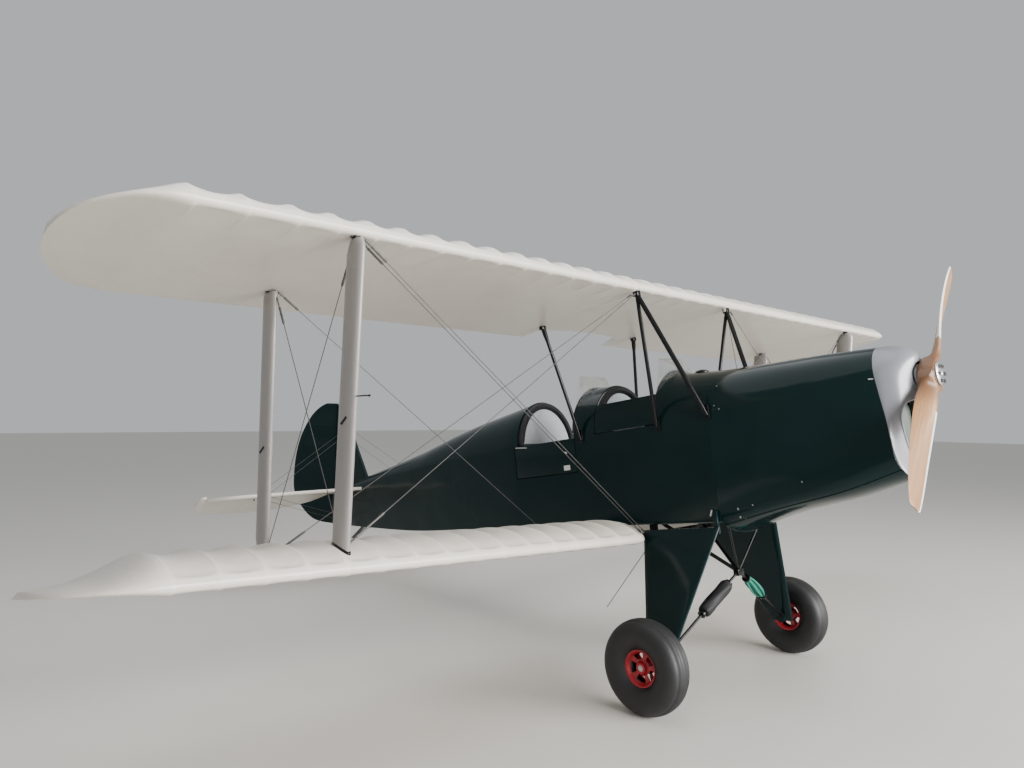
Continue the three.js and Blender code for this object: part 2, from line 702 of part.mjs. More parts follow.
function strutBody({ from, to, head, foot }) {
  const along = to.clone().sub(from);
  const length = along.length();
  const point = (d) => from.clone().addScaledVector(along, d / length);
  const ring = (p, outline, wide, thick) =>
    outline.map(([c, t]) => p.clone().add(at(c * wide, t * thick, 0)));
  const rows = [...head, ...foot.map(([d, k]) => [length - d, k])];
  const lugBlade = (...ends) => loft(ends.map((d) => ring(point(d), lugOutline, 1, 1)));
  return joined([
    loft(rows.map(([d, k]) => ring(point(d), strutOutline, strutWidth * k, strutThick))),
    lugBlade(-40, 30),
    lugBlade(length - 70, length + 40),
  ]);
}

// Cabane: a V of two tubes in front and one tube behind on each side
const cabaneTop = {
  front: at(spars.upperFront, centreHalf, upperUnder + 10),
  rear: at(spars.upperRear, centreHalf - 8, upperUnder),
};
const cabaneFeet = {
  forward: at(283, bodyHalf + 18, 1440),
  middle: at(-102, bodyHalf + 18, 1412),
  rear: at(-781, bodyHalf + 18, 1414),
};
const footPad = (p) => box(p.x - 18, p.x + 18, bodyHalf + fit, p.y, p.z - 34, p.z + 6);

const block = (p, dx, dy, dz) => box(p.x - dx, p.x + dx, p.y - dy, p.y + dy, p.z - dz, p.z + dz);

function cabaneFront() {
  const legs = [[cabaneFeet.forward, 16], [cabaneFeet.middle, 13]].map(([foot, radius]) =>
    rod(foot, cabaneTop.front, radius, 8).add(footPad(foot)));
  const cap = block(cabaneTop.front.clone().sub(at(4, 4, 12)), 24, 26, 30);
  return joined([...legs, cap]);
}

function cabaneRear() {
  const leg = rod(cabaneFeet.rear, cabaneTop.rear, 13, 8).add(footPad(cabaneFeet.rear));
  return leg.add(block(cabaneTop.rear.clone().sub(at(0, 2, 24)), 20, 24, 33));
}

// Main stays: flying pairs up and out from the lower root, landing stays down and out
const stayRadius = 2.5;
const rootEye = {
  front: at(spars.lowerFront - 12, lowerRoot - 22, sparTubeZ.front + sparTube + 10),
  rear: at(spars.lowerRear, lowerRoot - 22, sparTubeZ.rear + sparTube + 10),
};
const strutHeadEye = {
  front: at(14, strutStation - 40, upperUnder - 14),
  rear: at(spars.upperRear + 30, strutStation - 36, upperUnder - 34),
};
const strutFootEye = {
  front: at(-262, strutStation - 38, lowerTopAt(strutStation - 38) + 10),
  rear: at(-1075, strutStation - 38, lowerTopAt(strutStation - 38) - 46),
};
const cabaneEye = {
  front: at(22, centreHalf + 38, upperUnder - 22),
  rear: at(-10, centreHalf + 38, upperUnder - 22),
};

function flyingStays(which) {
  const low = rootEye[which];
  const high = strutHeadEye[which];
  const spread = which === "front" ? 16 : 0;
  const offsets = spread ? [-spread, spread] : [0];
  const wires = offsets.map((dx) =>
    rod(at(low.x + dx, low.y, low.z), at(high.x + dx, high.y, high.z), stayRadius, 4));
  return joined([
    ...wires,
    block(low, spread + 8, 8, 12),
    block(high, spread + 8, 12, 24),
  ]);
}

function landingStay(which) {
  const [high, low] = [cabaneEye[which], strutFootEye[which]];
  return joined([rod(high, low, stayRadius, 4), block(low, 10, 12, 24), block(high, 12, 16, 18)]);
}

// Main gear: fairing legs, a central pyramid of tubes and a shock strut to each axle
const gearNode = at(152, 0, 425);
const legTop = { front: 276, back: -304, y: 352, z: 738 };
const legFoot = { front: 78, back: -82, y: halfTrack - wheelWidth / 2 - 22, z: -22 };

function makeGearLeg() {
  const skin = 14;
  const drop = (x, y, z) => [at(x, y - skin, z), at(x, y + skin, z)];
  const [a0, a1] = drop(legTop.back, legTop.y, legTop.z);
  const [b0, b1] = drop(legTop.front, legTop.y, legTop.z);
  const [c0, c1] = drop(legFoot.front, legFoot.y, legFoot.z);
  const [d0, d1] = drop(legFoot.back, legFoot.y, legFoot.z);
  const plate = loft([[a0, b0, b1, a1], [d0, c0, c1, d1]]);
  const boss = rod(at(0, legFoot.y - 34, 0), at(0, legFoot.y + 16, 0), 34, 12);
  const axle = rod(at(0, legFoot.y - 20, 0), at(0, halfTrack + 52, 0), axleRadius, 12);
  // Straps up to the lower longeron, the rear one round the end of the wing's spar tube
  const strap = (x) => box(x - 30, x + 30, bodyHalf + fit, legTop.y + 5, legTop.z - 40, 850);
  const spar = at(spars.lowerFront, 0, sparTubeZ.front);
  const sparHole = rod(spar, at(spar.x, lowerRoot + 60, spar.z), sparTube + 2 * fit, 8);
  return joined([plate, boss, axle, strap(legTop.front - 34), strap(legTop.back + 40)]).subtract(sparHole);
}

const shockFrom = at(gearNode.x - 4, 26, gearNode.z - 12);
const shockTo = at(24, legFoot.y - 30, 14);

function makeShockStrut() {
  const rodRadius = 9;
  const coverRadius = 42;
  return spindle(shockFrom, shockTo, [
    [0, rodRadius], [0.13, rodRadius], [0.13, 28], [0.19, coverRadius],
    [0.42, coverRadius], [0.48, 26], [0.48, rodRadius], [1, rodRadius],
  ]);
}

function makePyramid() {
  const tops = [[262, 236, 790], [262, -236, 790], [-262, 236, 790], [-262, -236, 790]];
  const legs = tops.map(([x, y, z]) => rod(gearNode, at(x, y, z), x > 0 ? 7 : 13, 8));
  return joined([...legs, block(gearNode.clone().sub(at(0, 0, 4)), 20, 34, 22)]);
}

// A turned ring about the y axis, given by half of its section as rows of radius and half width.
// Its facets are laid so that one of them is flat on the floor, at the true radius.
function wheelRing(section, facets) {
  const grow = 1 / Math.cos(Math.PI / facets);
  const loop = [...section, ...section.slice().reverse().map(([r, h]) => [r, -h]), section[0]];
  const points = loop.map(([r, h]) => new THREE.Vector2(r * grow, h));
  return solid(new THREE.LatheGeometry(points, facets, radians(parkedPitch) + Math.PI / facets));
}

// Wheels: a fat tyre on a spoked hub
const wheelFacets = 20;
const rimRadius = 104;

function makeTyre() {
  const half = wheelWidth / 2;
  // Columns: radius, half width as a share of the tyre's
  const section = [[rimRadius, 0.55], [146, 0.9], [196, 1], [246, 0.8], [wheelRadius, 0.26]];
  return wheelRing(section.map(([r, share]) => [r, share * half]), wheelFacets);
}

function makeHub() {
  const half = 48;
  const rim = rimRadius - fit;
  const spokes = 5;
  const web = 4;
  const nave = 30;
  const bore = axleRadius + 2 * fit;
  let disc = wheelRing([[bore, web], [rim - 6, web]], wheelFacets);
  // Wedge-shaped openings between the spokes. Columns: radius, half angle
  for (let i = 0; i < spokes; i += 1) {
    const middle = (2 * Math.PI * (i + 0.5)) / spokes;
    const corners = [[44, -0.14], [80, -0.4], [80, 0.4], [44, 0.14]];
    disc = disc.subtract(loft([-20, 20].map((y) => corners.map(([r, a]) =>
      at(r * Math.cos(middle + a), y, r * Math.sin(middle + a))))));
  }
  const barrel = wheelRing([[rim - 12, half], [rim, half]], wheelFacets);
  return joined([disc, barrel, wheelRing([[bore, half], [nave, half]], 12)]);
}

// Tail wheel: sprung leaf, swivelling fork and small wheel
const tailAxle = 6;
const tailWheel = at(tailWheelX, 0, 0);
tailWheel.z = floorAt(tailWheelX) + tailWheelRadius / Math.cos(radians(parkedPitch));
const swivelAxis = at(0.16, 0, 1).normalize();
const swivel = at(tailWheel.x + 34, 0, tailWheel.z + 112);
const onSwivel = (distance) => swivel.clone().addScaledVector(swivelAxis, distance);
const [tailFore, tailEnd] = tailSections.slice(-2);
const tailEndX = tailEnd.x + tailEnd.lean * (tailEnd.top - tailEnd.bottom);
const tailBottom = (x) => lerp(tailFore.bottom, tailEnd.bottom, (tailFore.x - x) / (tailFore.x - tailEndX));

function makeTailSpring() {
  const leafHalf = 22;
  const leafDrop = 5 + 2 * fit;
  const path = [
    [-4150, tailBottom(-4150) - leafDrop],
    [-4300, tailBottom(-4300) - leafDrop],
    [-4560, 745],
    [swivel.x + 20, swivel.z + 27],
    [swivel.x - 26, swivel.z + 32],
  ];
  const corners = [[5, leafHalf], [-5, leafHalf], [-5, -leafHalf], [5, -leafHalf]];
  const ring = ([x, z]) => corners.map(([dz, y]) => at(x, y, z + dz));
  return loft(path.map(ring)).add(rod(onSwivel(4), onSwivel(46), 9, 8));
}

function makeTailFork() {
  const cheek = (s) => {
    const outline = new THREE.Shape();
    outline.moveTo(swivel.x - 24, swivel.z);
    outline.lineTo(swivel.x + 22, swivel.z);
    outline.lineTo(tailWheel.x + 16, tailWheel.z - 4);
    outline.absarc(tailWheel.x, tailWheel.z, 16, 0, -Math.PI, true);
    return sidePlate(outline, s * 30, s * 35);
  };
  const bridge = box(swivel.x - 24, swivel.x + 22, -35, 35, swivel.z - 8, swivel.z);
  const axle = rod(at(tailWheel.x, -33, tailWheel.z), at(tailWheel.x, 33, tailWheel.z), tailAxle, 8);
  const crown = rod(onSwivel(-10), onSwivel(22), 22, 12);
  const bore = rod(onSwivel(3), onSwivel(60), 9 + 3 * fit, 8);
  return joined([cheek(1), cheek(-1), bridge, crown, axle]).subtract(bore);
}

function makeTailWheel() {
  // Columns: radius, half width
  const hubRows = [[tailAxle + 2 * fit, 24], [24, 24], [50, 20]];
  const rows = [...hubRows, [tailWheelRadius - 7, 17], [tailWheelRadius, 6]];
  return moved(wheelRing(rows, 16), tailWheel.x, 0, tailWheel.z);
}

// Fin, rudder, tailplane and elevator
const hingeAxis = at(hingeRake, 0, 1).normalize();
const hingeAft = at(-1, 0, hingeRake).normalize();
const onRudder = (aft, along) =>
  hingeFoot.clone().addScaledVector(hingeAft, aft).addScaledVector(hingeAxis, along);
const hingeXAt = (z) => hingeFoot.x + (z - hingeFoot.z) * hingeRake;

function makeFin() {
  const outline = new THREE.Shape();
  outline.moveTo(-4140, 1380);
  outline.lineTo(-4318, 1735);
  outline.quadraticCurveTo(-4440, 2040, -4600, 2205);
  outline.lineTo(hingeXAt(2262) + 30, 2262);
  outline.lineTo(hingeXAt(1300) + 36, 1300);
  outline.lineTo(-4400, 1300);
  return sidePlate(outline, -20, 20);
}

// Columns: distance aft of the hinge, height along it
const rudderEdge = [
  [-6, 0.965], [147, 0.986], [338, 0.875], [514, 0.634], [597, 0.395], [625, 0.159],
  [609, -0.065], [477, -0.24], [309, -0.348], [35, -0.372], [-10, -0.36],
];

function makeRudder() {
  const points = rudderEdge.map(([aft, along]) => onRudder(aft, along * 1000));
  const outline = new THREE.Shape(points.map((p) => new THREE.Vector2(p.x, p.z)));
  return sidePlate(outline, -16, 16);
}

const tailGap = 21;
function makeTailplane() {
  const half = new THREE.Shape();
  half.moveTo(-4110, 0);
  half.lineTo(-4125, 120);
  half.lineTo(-4230, 1050);
  half.quadraticCurveTo(-4270, 1330, -4520, 1440);
  half.lineTo(tailHingeX + tailGap, 1500);
  half.lineTo(tailHingeX + tailGap, 0);
  const plate = flatPlate(half, tailplaneZ - 18, tailplaneZ + 18);
  return plate.add(mirrored(plate));
}

const elevatorInner = 130;
const elevatorPoint = (y) => at(tailHingeX, y, tailplaneZ);

function makeElevatorHalf() {
  const outline = new THREE.Shape();
  outline.moveTo(tailHingeX, elevatorInner);
  outline.lineTo(tailHingeX - 60, elevatorInner + 10);
  outline.quadraticCurveTo(tailHingeX - 330, 330, tailHingeX - 405, 760);
  outline.lineTo(tailHingeX - 405, 1250);
  outline.quadraticCurveTo(tailHingeX - 380, 1540, tailHingeX - 60, 1560);
  outline.quadraticCurveTo(tailHingeX + 60, 1560, tailHingeX + 100, 1515);
  outline.lineTo(tailHingeX, 1512);
  const nose = rod(elevatorPoint(elevatorInner), elevatorPoint(1512), 14.5, 10);
  return flatPlate(outline, tailplaneZ - 15, tailplaneZ + 15).add(nose);
}

// Both elevator halves on one tube, hung from the tailplane
let tailplane = makeTailplane();
let elevator = makeElevatorHalf();
elevator = joined([elevator, mirrored(elevator), rod(elevatorPoint(-160), elevatorPoint(160), 14, 10)]);
[-1240, -320, 320, 1240].forEach((y) => {
  const { carrier, cut } = hingeParts(elevatorPoint(y), across, at(1, 0, 0), 40, tailGap - 1);
  tailplane = tailplane.add(carrier);
  elevator = elevator.subtract(cut);
});

const rearArch = arch([[rearSeatBack, 1790], [tubEnd - 1, 1779]], 0);
const tailBody = loft(tailSections.map((row) => bodyRing(row))).add(rearArch);
const tailplaneSlot = box(-4110 + 2 * fit, -5200, -300, 300, tailplaneZ - 18 - fit, tailplaneZ + 18 + fit);
const rearFuselage = tailBody.subtract(tailplaneSlot)
  .subtract(box(tailHingeX + 40, -5200, -200, 200, tailplaneZ - 36, 1500));
let fin = seated(makeFin(), [rearFuselage, up]);
let rudder = makeRudder();
let tailPost = rearFuselage;
const hingeFore = hingeAft.clone().negate();
[[-260, "post"], [200, "fin"], [780, "fin"]].forEach(([along, which]) => {
  const { carrier, cut } = hingeParts(onRudder(0, along), hingeAxis, hingeFore, 60, 23);
  if (which === "fin") fin = fin.add(carrier);
  else tailPost = tailPost.add(carrier);
  rudder = rudder.subtract(cut);
});

// Seats, controls and doors
function seatCushion(front, back, z) {
  return box(back, front, -235, 235, z, z + 90);
}

// Assembly
add("fuselage_tub", tub, green);
add("front_deck", frontDeck, green);
add("mid_deck", midDeck, green);
add("rear_fuselage", tailPost, green);
add("engine_hood", hood, green);
add("belly_tray", tray, green);
add("nose_bowl", noseBowl, silver);
add("engine_block", engine, steel);
add("propeller", propeller, wood);
add("propeller_hub_plate", hubPlate, steel);
add("windscreen_front", seated(makeWindscreen(frontRim), [frontDeck, up]), clear);
add("windscreen_rear", seated(makeWindscreen(rearRim), [midDeck, up]), clear);
add("seat_cushion_front", seatCushion(frontCushion, frontSeatBack + 4, seatShelf + fit), felt);
add("seat_cushion_rear", seatCushion(rearCushion, rearSeatBack + 4, seatShelf + fit), felt);
add("control_columns", makeControlColumns(), blackTube);
add("front_door", makeFrontDoor(), green);
add("rear_door", makeRearDoor(), green);
add("upper_wing_centre", centreSection, cream);

// Struts, cabane and stays, each cut clear of the wings and the body that it meets
const wingSeats = [[upperOuter, down], [lowerWingLeft, up]];
const struts = Object.entries(strutRows)
  .map(([which, rows]) => [which, seated(strutBody(rows), ...wingSeats)]);
const cabanes = [["front", cabaneFront()], ["rear", cabaneRear()]]
  .map(([which, body]) => [which, seated(body, [centreSection, down], [upperOuter, down])]);
const sparTubes = [["front", spars.lowerFront], ["rear", spars.lowerRear]]
  .map(([which, x]) => [which, seated(makeSparTube(x, sparTubeZ[which]), [tub, down])]);
sparTubes.forEach(([which, body]) => add(`spar_tube_${which}`, body, steel));
const staySeats = [...wingSeats, ...sparTubes.map(([, body]) => [body, up])];
const stays = [
  ["flying_stays_front", seated(flyingStays("front"), ...staySeats)],
  ["flying_stay_rear", seated(flyingStays("rear"), ...staySeats)],
  ...["front", "rear"].map((which) =>
    [`landing_stay_${which}`, seated(landingStay(which), ...wingSeats, [cabaneFront(), outboard])]),
];

sides.forEach(([name, side]) => {
  add(`upper_wing_${name}`, onSide(upperOuter, side), cream);
  add(`lower_wing_${name}`, onSide(lowerWingLeft, side), cream);
  const hingeLine = aileronAxis.clone().multiply(at(1, side, 1)).multiplyScalar(side);
  const hinge = aileronStart.clone().multiply(at(1, side, 1));
  add(`aileron_${name}`, turned(onSide(aileronNeutral, side), hinge, hingeLine, side * aileronRest), cream);
  struts.forEach(([which, body]) => add(`strut_${which}_${name}`, onSide(body, side), strutGrey));
  cabanes.forEach(([which, body]) => add(`cabane_${which}_${name}`, onSide(body, side), blackTube));
  stays.forEach(([stay, body]) => add(`${stay}_${name}`, onSide(body, side), steel));
});

// Gear
const pyramid = seated(makePyramid(), [tub, down]);
const leg = makeGearLeg();
const shockStrut = seated(makeShockStrut(), [leg, inboard], [pyramid, outboard]);
add("gear_pyramid", pyramid, blackTube);
sides.forEach(([name, side]) => {
  add(`gear_leg_${name}`, onSide(leg, side), green);
  add(`shock_strut_${name}`, onSide(shockStrut, side), blackTube);
  add(`tyre_${name}`, moved(makeTyre(), 0, side * halfTrack, 0), rubber);
  add(`wheel_hub_${name}`, moved(makeHub(), 0, side * halfTrack, 0), red);
});

// Tail
const fork = makeTailFork();
add("tail_spring", makeTailSpring(), steel);
add("tail_fork", fork, blackTube);
add("tail_wheel", makeTailWheel(), rubber);
add("tailplane", tailplane, cream);
add("fin", fin, green);
add("rudder", turned(rudder, hingeFoot, hingeAxis, rudderRest), green);
add("elevator", turned(elevator, elevatorPoint(0), across, -elevatorRest), cream);

export default aircraft;
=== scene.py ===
"""Skins, trim, rigging and stage of a two-seat open-cockpit biplane, around its fixed frame.

Metres. Every piece is modelled in the level axes of the airframe: x forward, y to port and z up
from the middle of the main axle. It is then set nose-up on the wheels, where the frame stands.
"""
import json
import math

import bmesh
import bpy
from mathutils import Matrix, Vector

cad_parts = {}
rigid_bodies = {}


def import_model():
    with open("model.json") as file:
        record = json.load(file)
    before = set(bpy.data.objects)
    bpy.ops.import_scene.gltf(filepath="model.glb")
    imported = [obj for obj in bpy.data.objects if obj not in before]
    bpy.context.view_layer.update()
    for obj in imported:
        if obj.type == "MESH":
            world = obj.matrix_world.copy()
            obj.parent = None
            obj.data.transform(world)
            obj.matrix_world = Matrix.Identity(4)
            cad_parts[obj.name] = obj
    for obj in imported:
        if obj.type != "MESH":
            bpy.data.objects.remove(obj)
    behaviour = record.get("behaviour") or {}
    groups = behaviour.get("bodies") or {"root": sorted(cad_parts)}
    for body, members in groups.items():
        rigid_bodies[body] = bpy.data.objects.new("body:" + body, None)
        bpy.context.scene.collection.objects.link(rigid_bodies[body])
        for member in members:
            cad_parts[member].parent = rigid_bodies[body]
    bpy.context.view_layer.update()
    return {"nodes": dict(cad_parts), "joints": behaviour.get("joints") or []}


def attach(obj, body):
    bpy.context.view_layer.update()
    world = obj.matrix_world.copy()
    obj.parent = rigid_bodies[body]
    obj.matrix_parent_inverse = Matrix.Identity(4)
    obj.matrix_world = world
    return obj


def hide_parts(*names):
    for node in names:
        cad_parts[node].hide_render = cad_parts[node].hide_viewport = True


bl_info = {
    "name": "Open-cockpit Biplane",
    "version": (1, 0, 0),
    "blender": (4, 5, 0),
    "location": "3D View > Sidebar > Biplane",
    "description": "Skins, trim, rigging and stage of a two-seat biplane around its fixed frame",
    "category": "Add Mesh",
}

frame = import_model()
JOINTS = {joint["name"]: joint for joint in frame["joints"]}

# How the level airframe stands: pitched up about the main axle
SHAFT_AXIS = Vector(JOINTS["propeller_spin"]["axis"])
PITCH = math.atan2(SHAFT_AXIS.z, SHAFT_AXIS.x)
AXLE = Vector(JOINTS["wheel_right_spin"]["pos_m"])
PARKED = Matrix.Translation((AXLE.x, 0, AXLE.z)) @ Matrix.Rotation(-PITCH, 4, "Y")

SIDES = (("right", -1), ("left", 1))
FORWARD = Vector((1, 0, 0))
PORT = Vector((0, 1, 0))
UP = Vector((0, 0, 1))

# Camera, from the lines of the photograph
CAMERA_PLACE = Vector((4.7922, -4.515, 1.719))
CAMERA_YAW = math.radians(136.549)
CAMERA_PITCH = math.radians(2.326)
CAMERA_ROLL = math.radians(0.624)
FOCAL_PIXELS = 759.214
PICTURE_WIDTH = 1024
SENSOR = 36.0


# Sizes and colours that a user may change

def length(name, description, default):
    return bpy.props.FloatProperty(
        name=name, description=description, default=default, unit="LENGTH", precision=4)


def watts(name, description, default):
    return bpy.props.FloatProperty(name=name, description=description, default=default, unit="POWER")


def colour(name, description, default):
    return bpy.props.FloatVectorProperty(
        name=name, description=description, default=default, subtype="COLOR", size=3, min=0, max=1)


class BiplaneSizes(bpy.types.PropertyGroup):
    """Sizes of the skins, trim and rigging"""
    rib_pitch: length("Rib pitch", "Distance from one wing rib to the next", 0.1973)
    upper_sag: length("Upper sag", "How far the upper fabric sinks between two ribs", 0.017)
    lower_sag: length("Lower sag", "How far the lower fabric draws in between two ribs", 0.006)
    tail_sag: length("Tail sag", "How far the tail's fabric draws in between two ribs", 0.0035)
    rib_tape: length("Rib tape", "Width of the tape over a rib", 0.024)
    skin: length("Skin", "Thickness of the cowling's and the nose bowl's sheets", 0.004)
    rim: length("Rim", "Radius of the padded cockpit rims", 0.027)
    wire: length("Wire", "Radius of a bracing wire", 0.0022)
    cloth_steps: bpy.props.IntProperty(
        name="Cloth steps", description="Frames of the seat simulation", default=20)


class BiplaneColours(bpy.types.PropertyGroup):
    """Colours of the finishes"""
    green: colour("Green", "Gloss paint of the fuselage", (0.0032, 0.0142, 0.0150))
    cream: colour("Cream", "Doped fabric of the wings", (0.69, 0.645, 0.575))
    silver: colour("Silver", "Satin paint of the nose bowl", (0.245, 0.25, 0.275))
    strut: colour("Strut", "Satin paint of the interplane struts", (0.34, 0.32, 0.31))
    black: colour("Black", "Gloss paint on steel tubes", (0.006, 0.006, 0.007))
    red: colour("Red", "Plastic of the wheel hubs", (0.36, 0.012, 0.022))
    rubber: colour("Rubber", "Tyre rubber", (0.008, 0.008, 0.009))
    pale_wood: colour("Pale wood", "Light plies of the propeller", (0.37, 0.20, 0.092))
    dark_wood: colour("Dark wood", "Dark plies of the propeller", (0.30, 0.145, 0.07))
    felt: colour("Felt", "Panels behind the seats", (0.60, 0.64, 0.69))
    leather: colour("Leather", "Padded rims", (0.010, 0.010, 0.011))
    cord_green: colour("Cord green", "Shock cord of the left strut", (0.01, 0.16, 0.11))
    floor: colour("Floor", "Studio floor", (0.60, 0.58, 0.54))


class BiplaneStage(bpy.types.PropertyGroup):
    """Studio lights"""
    window_power: watts("Window", "Power of the window light", 4200)
    ceiling_power: watts("Ceiling", "Power of the ceiling light", 300)
    air: bpy.props.FloatProperty(
        name="Air", description="Strength of the light from all round", default=0.60)


GROUPS = {"biplane_sizes": BiplaneSizes, "biplane_colours": BiplaneColours, "biplane_stage": BiplaneStage}


def sizes():
    return bpy.context.scene.biplane_sizes


# Curves and numbers

def ramp(value, start, stop):
    """0 before start, 1 after stop, and smooth between them."""
    share = min(1.0, max(0.0, (value - start) / (stop - start)))
    return share * share * (3 - 2 * share)


def lerp(a, b, share):
    return a + (b - a) * share


def steps(count, start=0.0, stop=1.0):
    return [lerp(start, stop, number / count) for number in range(count + 1)]


def curve(rows, count):
    """Rows along a smooth curve through the given rows, with any number of columns."""
    knots = [Vector(row) for row in rows]
    whole = [knots[0] * 2 - knots[1], *knots, knots[-1] * 2 - knots[-2]]
    path = []
    for a, b, c, d in zip(whole, whole[1:], whole[2:], whole[3:]):
        before, here, after = (max((q - p).length, 1e-9) ** 0.5 for p, q in ((a, b), (b, c), (c, d)))
        leave = ((b - a) / before - (c - a) / (before + here)) * here + (c - b)
        arrive = ((d - c) / after - (d - b) / (here + after)) * here + (c - b)
        for step in range(count):
            t = step / count
            path.append(b * ((1 + 2 * t) * (1 - t) ** 2) + c * (t * t * (3 - 2 * t))
                        + leave * (t * (1 - t) ** 2) - arrive * (t * t * (1 - t)))
    return path + [knots[-1]]


def column(rows, at, value, into):
    """Interpolates column number into of the rows, by the value of column number at."""
    ordered = sorted(rows, key=lambda row: row[at])
    if value <= ordered[0][at]:
        return ordered[0][into]
    for low, high in zip(ordered, ordered[1:]):
        if value <= high[at]:
            return lerp(low[into], high[into], (value - low[at]) / max(high[at] - low[at], 1e-9))
    return ordered[-1][into]


def turn_about(point, axis, degrees):
    return (Matrix.Translation(point) @ Matrix.Rotation(math.radians(degrees), 4, Vector(axis).normalized())
            @ Matrix.Translation(-Vector(point)))


# Modelling

class Piece:
    """A mesh being modelled with mesh operators, in the level axes."""

    def __init__(self):
        self.bm = bmesh.new()
        # Layer for the tapes on the fabric, and on the propeller for the darker root, which is partly painted
        # shade
        self.tape = self.bm.verts.layers.float.new("tape")

    def loft(self, rings, closed=True, caps=True, marks=None):
        """A skin grown from ring to ring. marks gives each ring's share of the tape layer; on the propeller
        that layer marks the darker root, partly painted shade.
        """
        verts = [self.bm.verts.new(point) for point in rings[0]]
        pairs = list(zip(range(len(verts)), range(1, len(verts))))
        if closed:
            pairs.append((len(verts) - 1, 0))
        edges = [self.bm.edges.new((verts[a], verts[b])) for a, b in pairs]
        first = list(edges)
        whole = list(verts)
        for vert in verts:
            vert[self.tape] = marks[0] if marks else 0.0
        for number, ring in enumerate(rings[1:], 1):
            grown = bmesh.ops.extrude_edge_only(self.bm, edges=edges)["geom"]
            fresh = {part for part in grown if isinstance(part, bmesh.types.BMVert)}
            verts = [next(e.other_vert(v) for e in v.link_edges if e.other_vert(v) in fresh) for v in verts]
            edges = [self.bm.edges.get((verts[a], verts[b])) for a, b in pairs]
            for vert, point in zip(verts, ring):
                vert.co = point
                vert[self.tape] = marks[number] if marks else 0.0
            whole += verts
        if closed and caps:
            for end in (first, edges):
                bmesh.ops.contextual_create(self.bm, geom=end)
        return whole

    def rod(self, start, end, radius, end_radius=None, sides=12):
        start, end = Vector(start), Vector(end)
        along = end - start
        place = Matrix.Translation((start + end) / 2) @ along.to_track_quat("Z", "Y").to_matrix().to_4x4()
        made = bmesh.ops.create_cone(
            self.bm, cap_ends=True, cap_tris=False, segments=sides, radius1=radius,
            radius2=radius if end_radius is None else end_radius, depth=along.length, matrix=place)
        return made["verts"]

    def ball(self, centre, radius, sides=12):
        bmesh.ops.create_uvsphere(
            self.bm, u_segments=sides, v_segments=sides // 2 + 2, radius=radius,
            matrix=Matrix.Translation(centre))

    def box(self, low, high, rounding=0.0, segments=2):
        low, high = Vector(low), Vector(high)
        place = Matrix.Translation((low + high) / 2) @ Matrix.Diagonal((*(high - low), 1))
        verts = bmesh.ops.create_cube(self.bm, size=1, matrix=place)["verts"]
        return self.soften(verts, rounding, segments) if rounding else verts

    def soften(self, verts, rounding, segments=2, sharper_than=0.0):
        """Rounds the edges among these vertices, or only those sharper than an angle in degrees."""
        chosen = set(verts)
        edges = [e for e in {e for v in verts for e in v.link_edges} if all(v in chosen for v in e.verts)]
        if sharper_than:
            self.bm.normal_update()
            edges = [e for e in edges if len(e.link_faces) == 2
                     and e.calc_face_angle(0) > math.radians(sharper_than)]
        made = bmesh.ops.bevel(
            self.bm, geom=edges, offset=rounding, offset_type="OFFSET", segments=segments, profile=0.5,
            affect="EDGES", clamp_overlap=True, material=-1)
        return list({v for v in chosen if v.is_valid} | set(made["verts"]))

    def plate(self, outline, thickness, rounding=0.0):
        """A flat outline of points, thickened by a vector."""
        verts = [self.bm.verts.new(point) for point in outline]
        face = self.bm.faces.new(verts)
        grown = bmesh.ops.extrude_face_region(self.bm, geom=[face])["geom"]
        fresh = [part for part in grown if isinstance(part, bmesh.types.BMVert)]
        bmesh.ops.translate(self.bm, vec=Vector(thickness), verts=fresh)
        whole = verts + fresh
        return self.soften(whole, rounding, sharper_than=50) if rounding else whole

    def tube(self, path, radius, sides=10, closed=False):
        """A round rod along a path. The radius is a number, or one number for each point."""
        path = [Vector(point) for point in path]
        count = len(path)
        radii = radius if isinstance(radius, (list, tuple)) else [radius] * count
        rings = []
        side = None
        for number, point in enumerate(path):
            ahead = path[(number + 1) % count] if closed else path[min(number + 1, count - 1)]
            behind = path[number - 1] if closed or number else path[0]
            along = (ahead - behind).normalized()
            side = along.orthogonal() if side is None else side - along * side.dot(along)
            side.normalize()
            other = along.cross(side)
            reach = radii[number]
            rings.append([point + side * (reach * math.cos(a)) + other * (reach * math.sin(a))
                          for a in steps(sides, 0, 2 * math.pi)[:-1]])
        if closed:
            rings.append(rings[0])
        return self.loft(rings, caps=not closed)

    def lathe(self, profile, centre, axis, count=32, closed=False, start=None):
        """A full spin of a profile with rows of distance along the axis and radius."""
        axis = Vector(axis).normalized()
        spoke = Vector(start).normalized() if start else axis.orthogonal().normalized()
        centre = Vector(centre)
        verts = [self.bm.verts.new(centre + axis * along + spoke * radius) for along, radius in profile]
        pairs = list(zip(verts, verts[1:])) + ([(verts[-1], verts[0])] if closed else [])
        edges = [self.bm.edges.new(pair) for pair in pairs]
        before = len(self.bm.verts)
        bmesh.ops.spin(self.bm, geom=verts + edges, cent=centre, axis=axis, dvec=(0, 0, 0),
                       angle=2 * math.pi, steps=count, use_merge=True, use_duplicate=False)
        self.bm.verts.ensure_lookup_table()
        return verts + list(self.bm.verts)[before:]

    def turn(self, matrix):
        bmesh.ops.transform(self.bm, matrix=matrix, space=Matrix.Identity(4), verts=list(self.bm.verts))

    def mirror(self):
        bmesh.ops.scale(self.bm, vec=(1, -1, 1), verts=list(self.bm.verts))

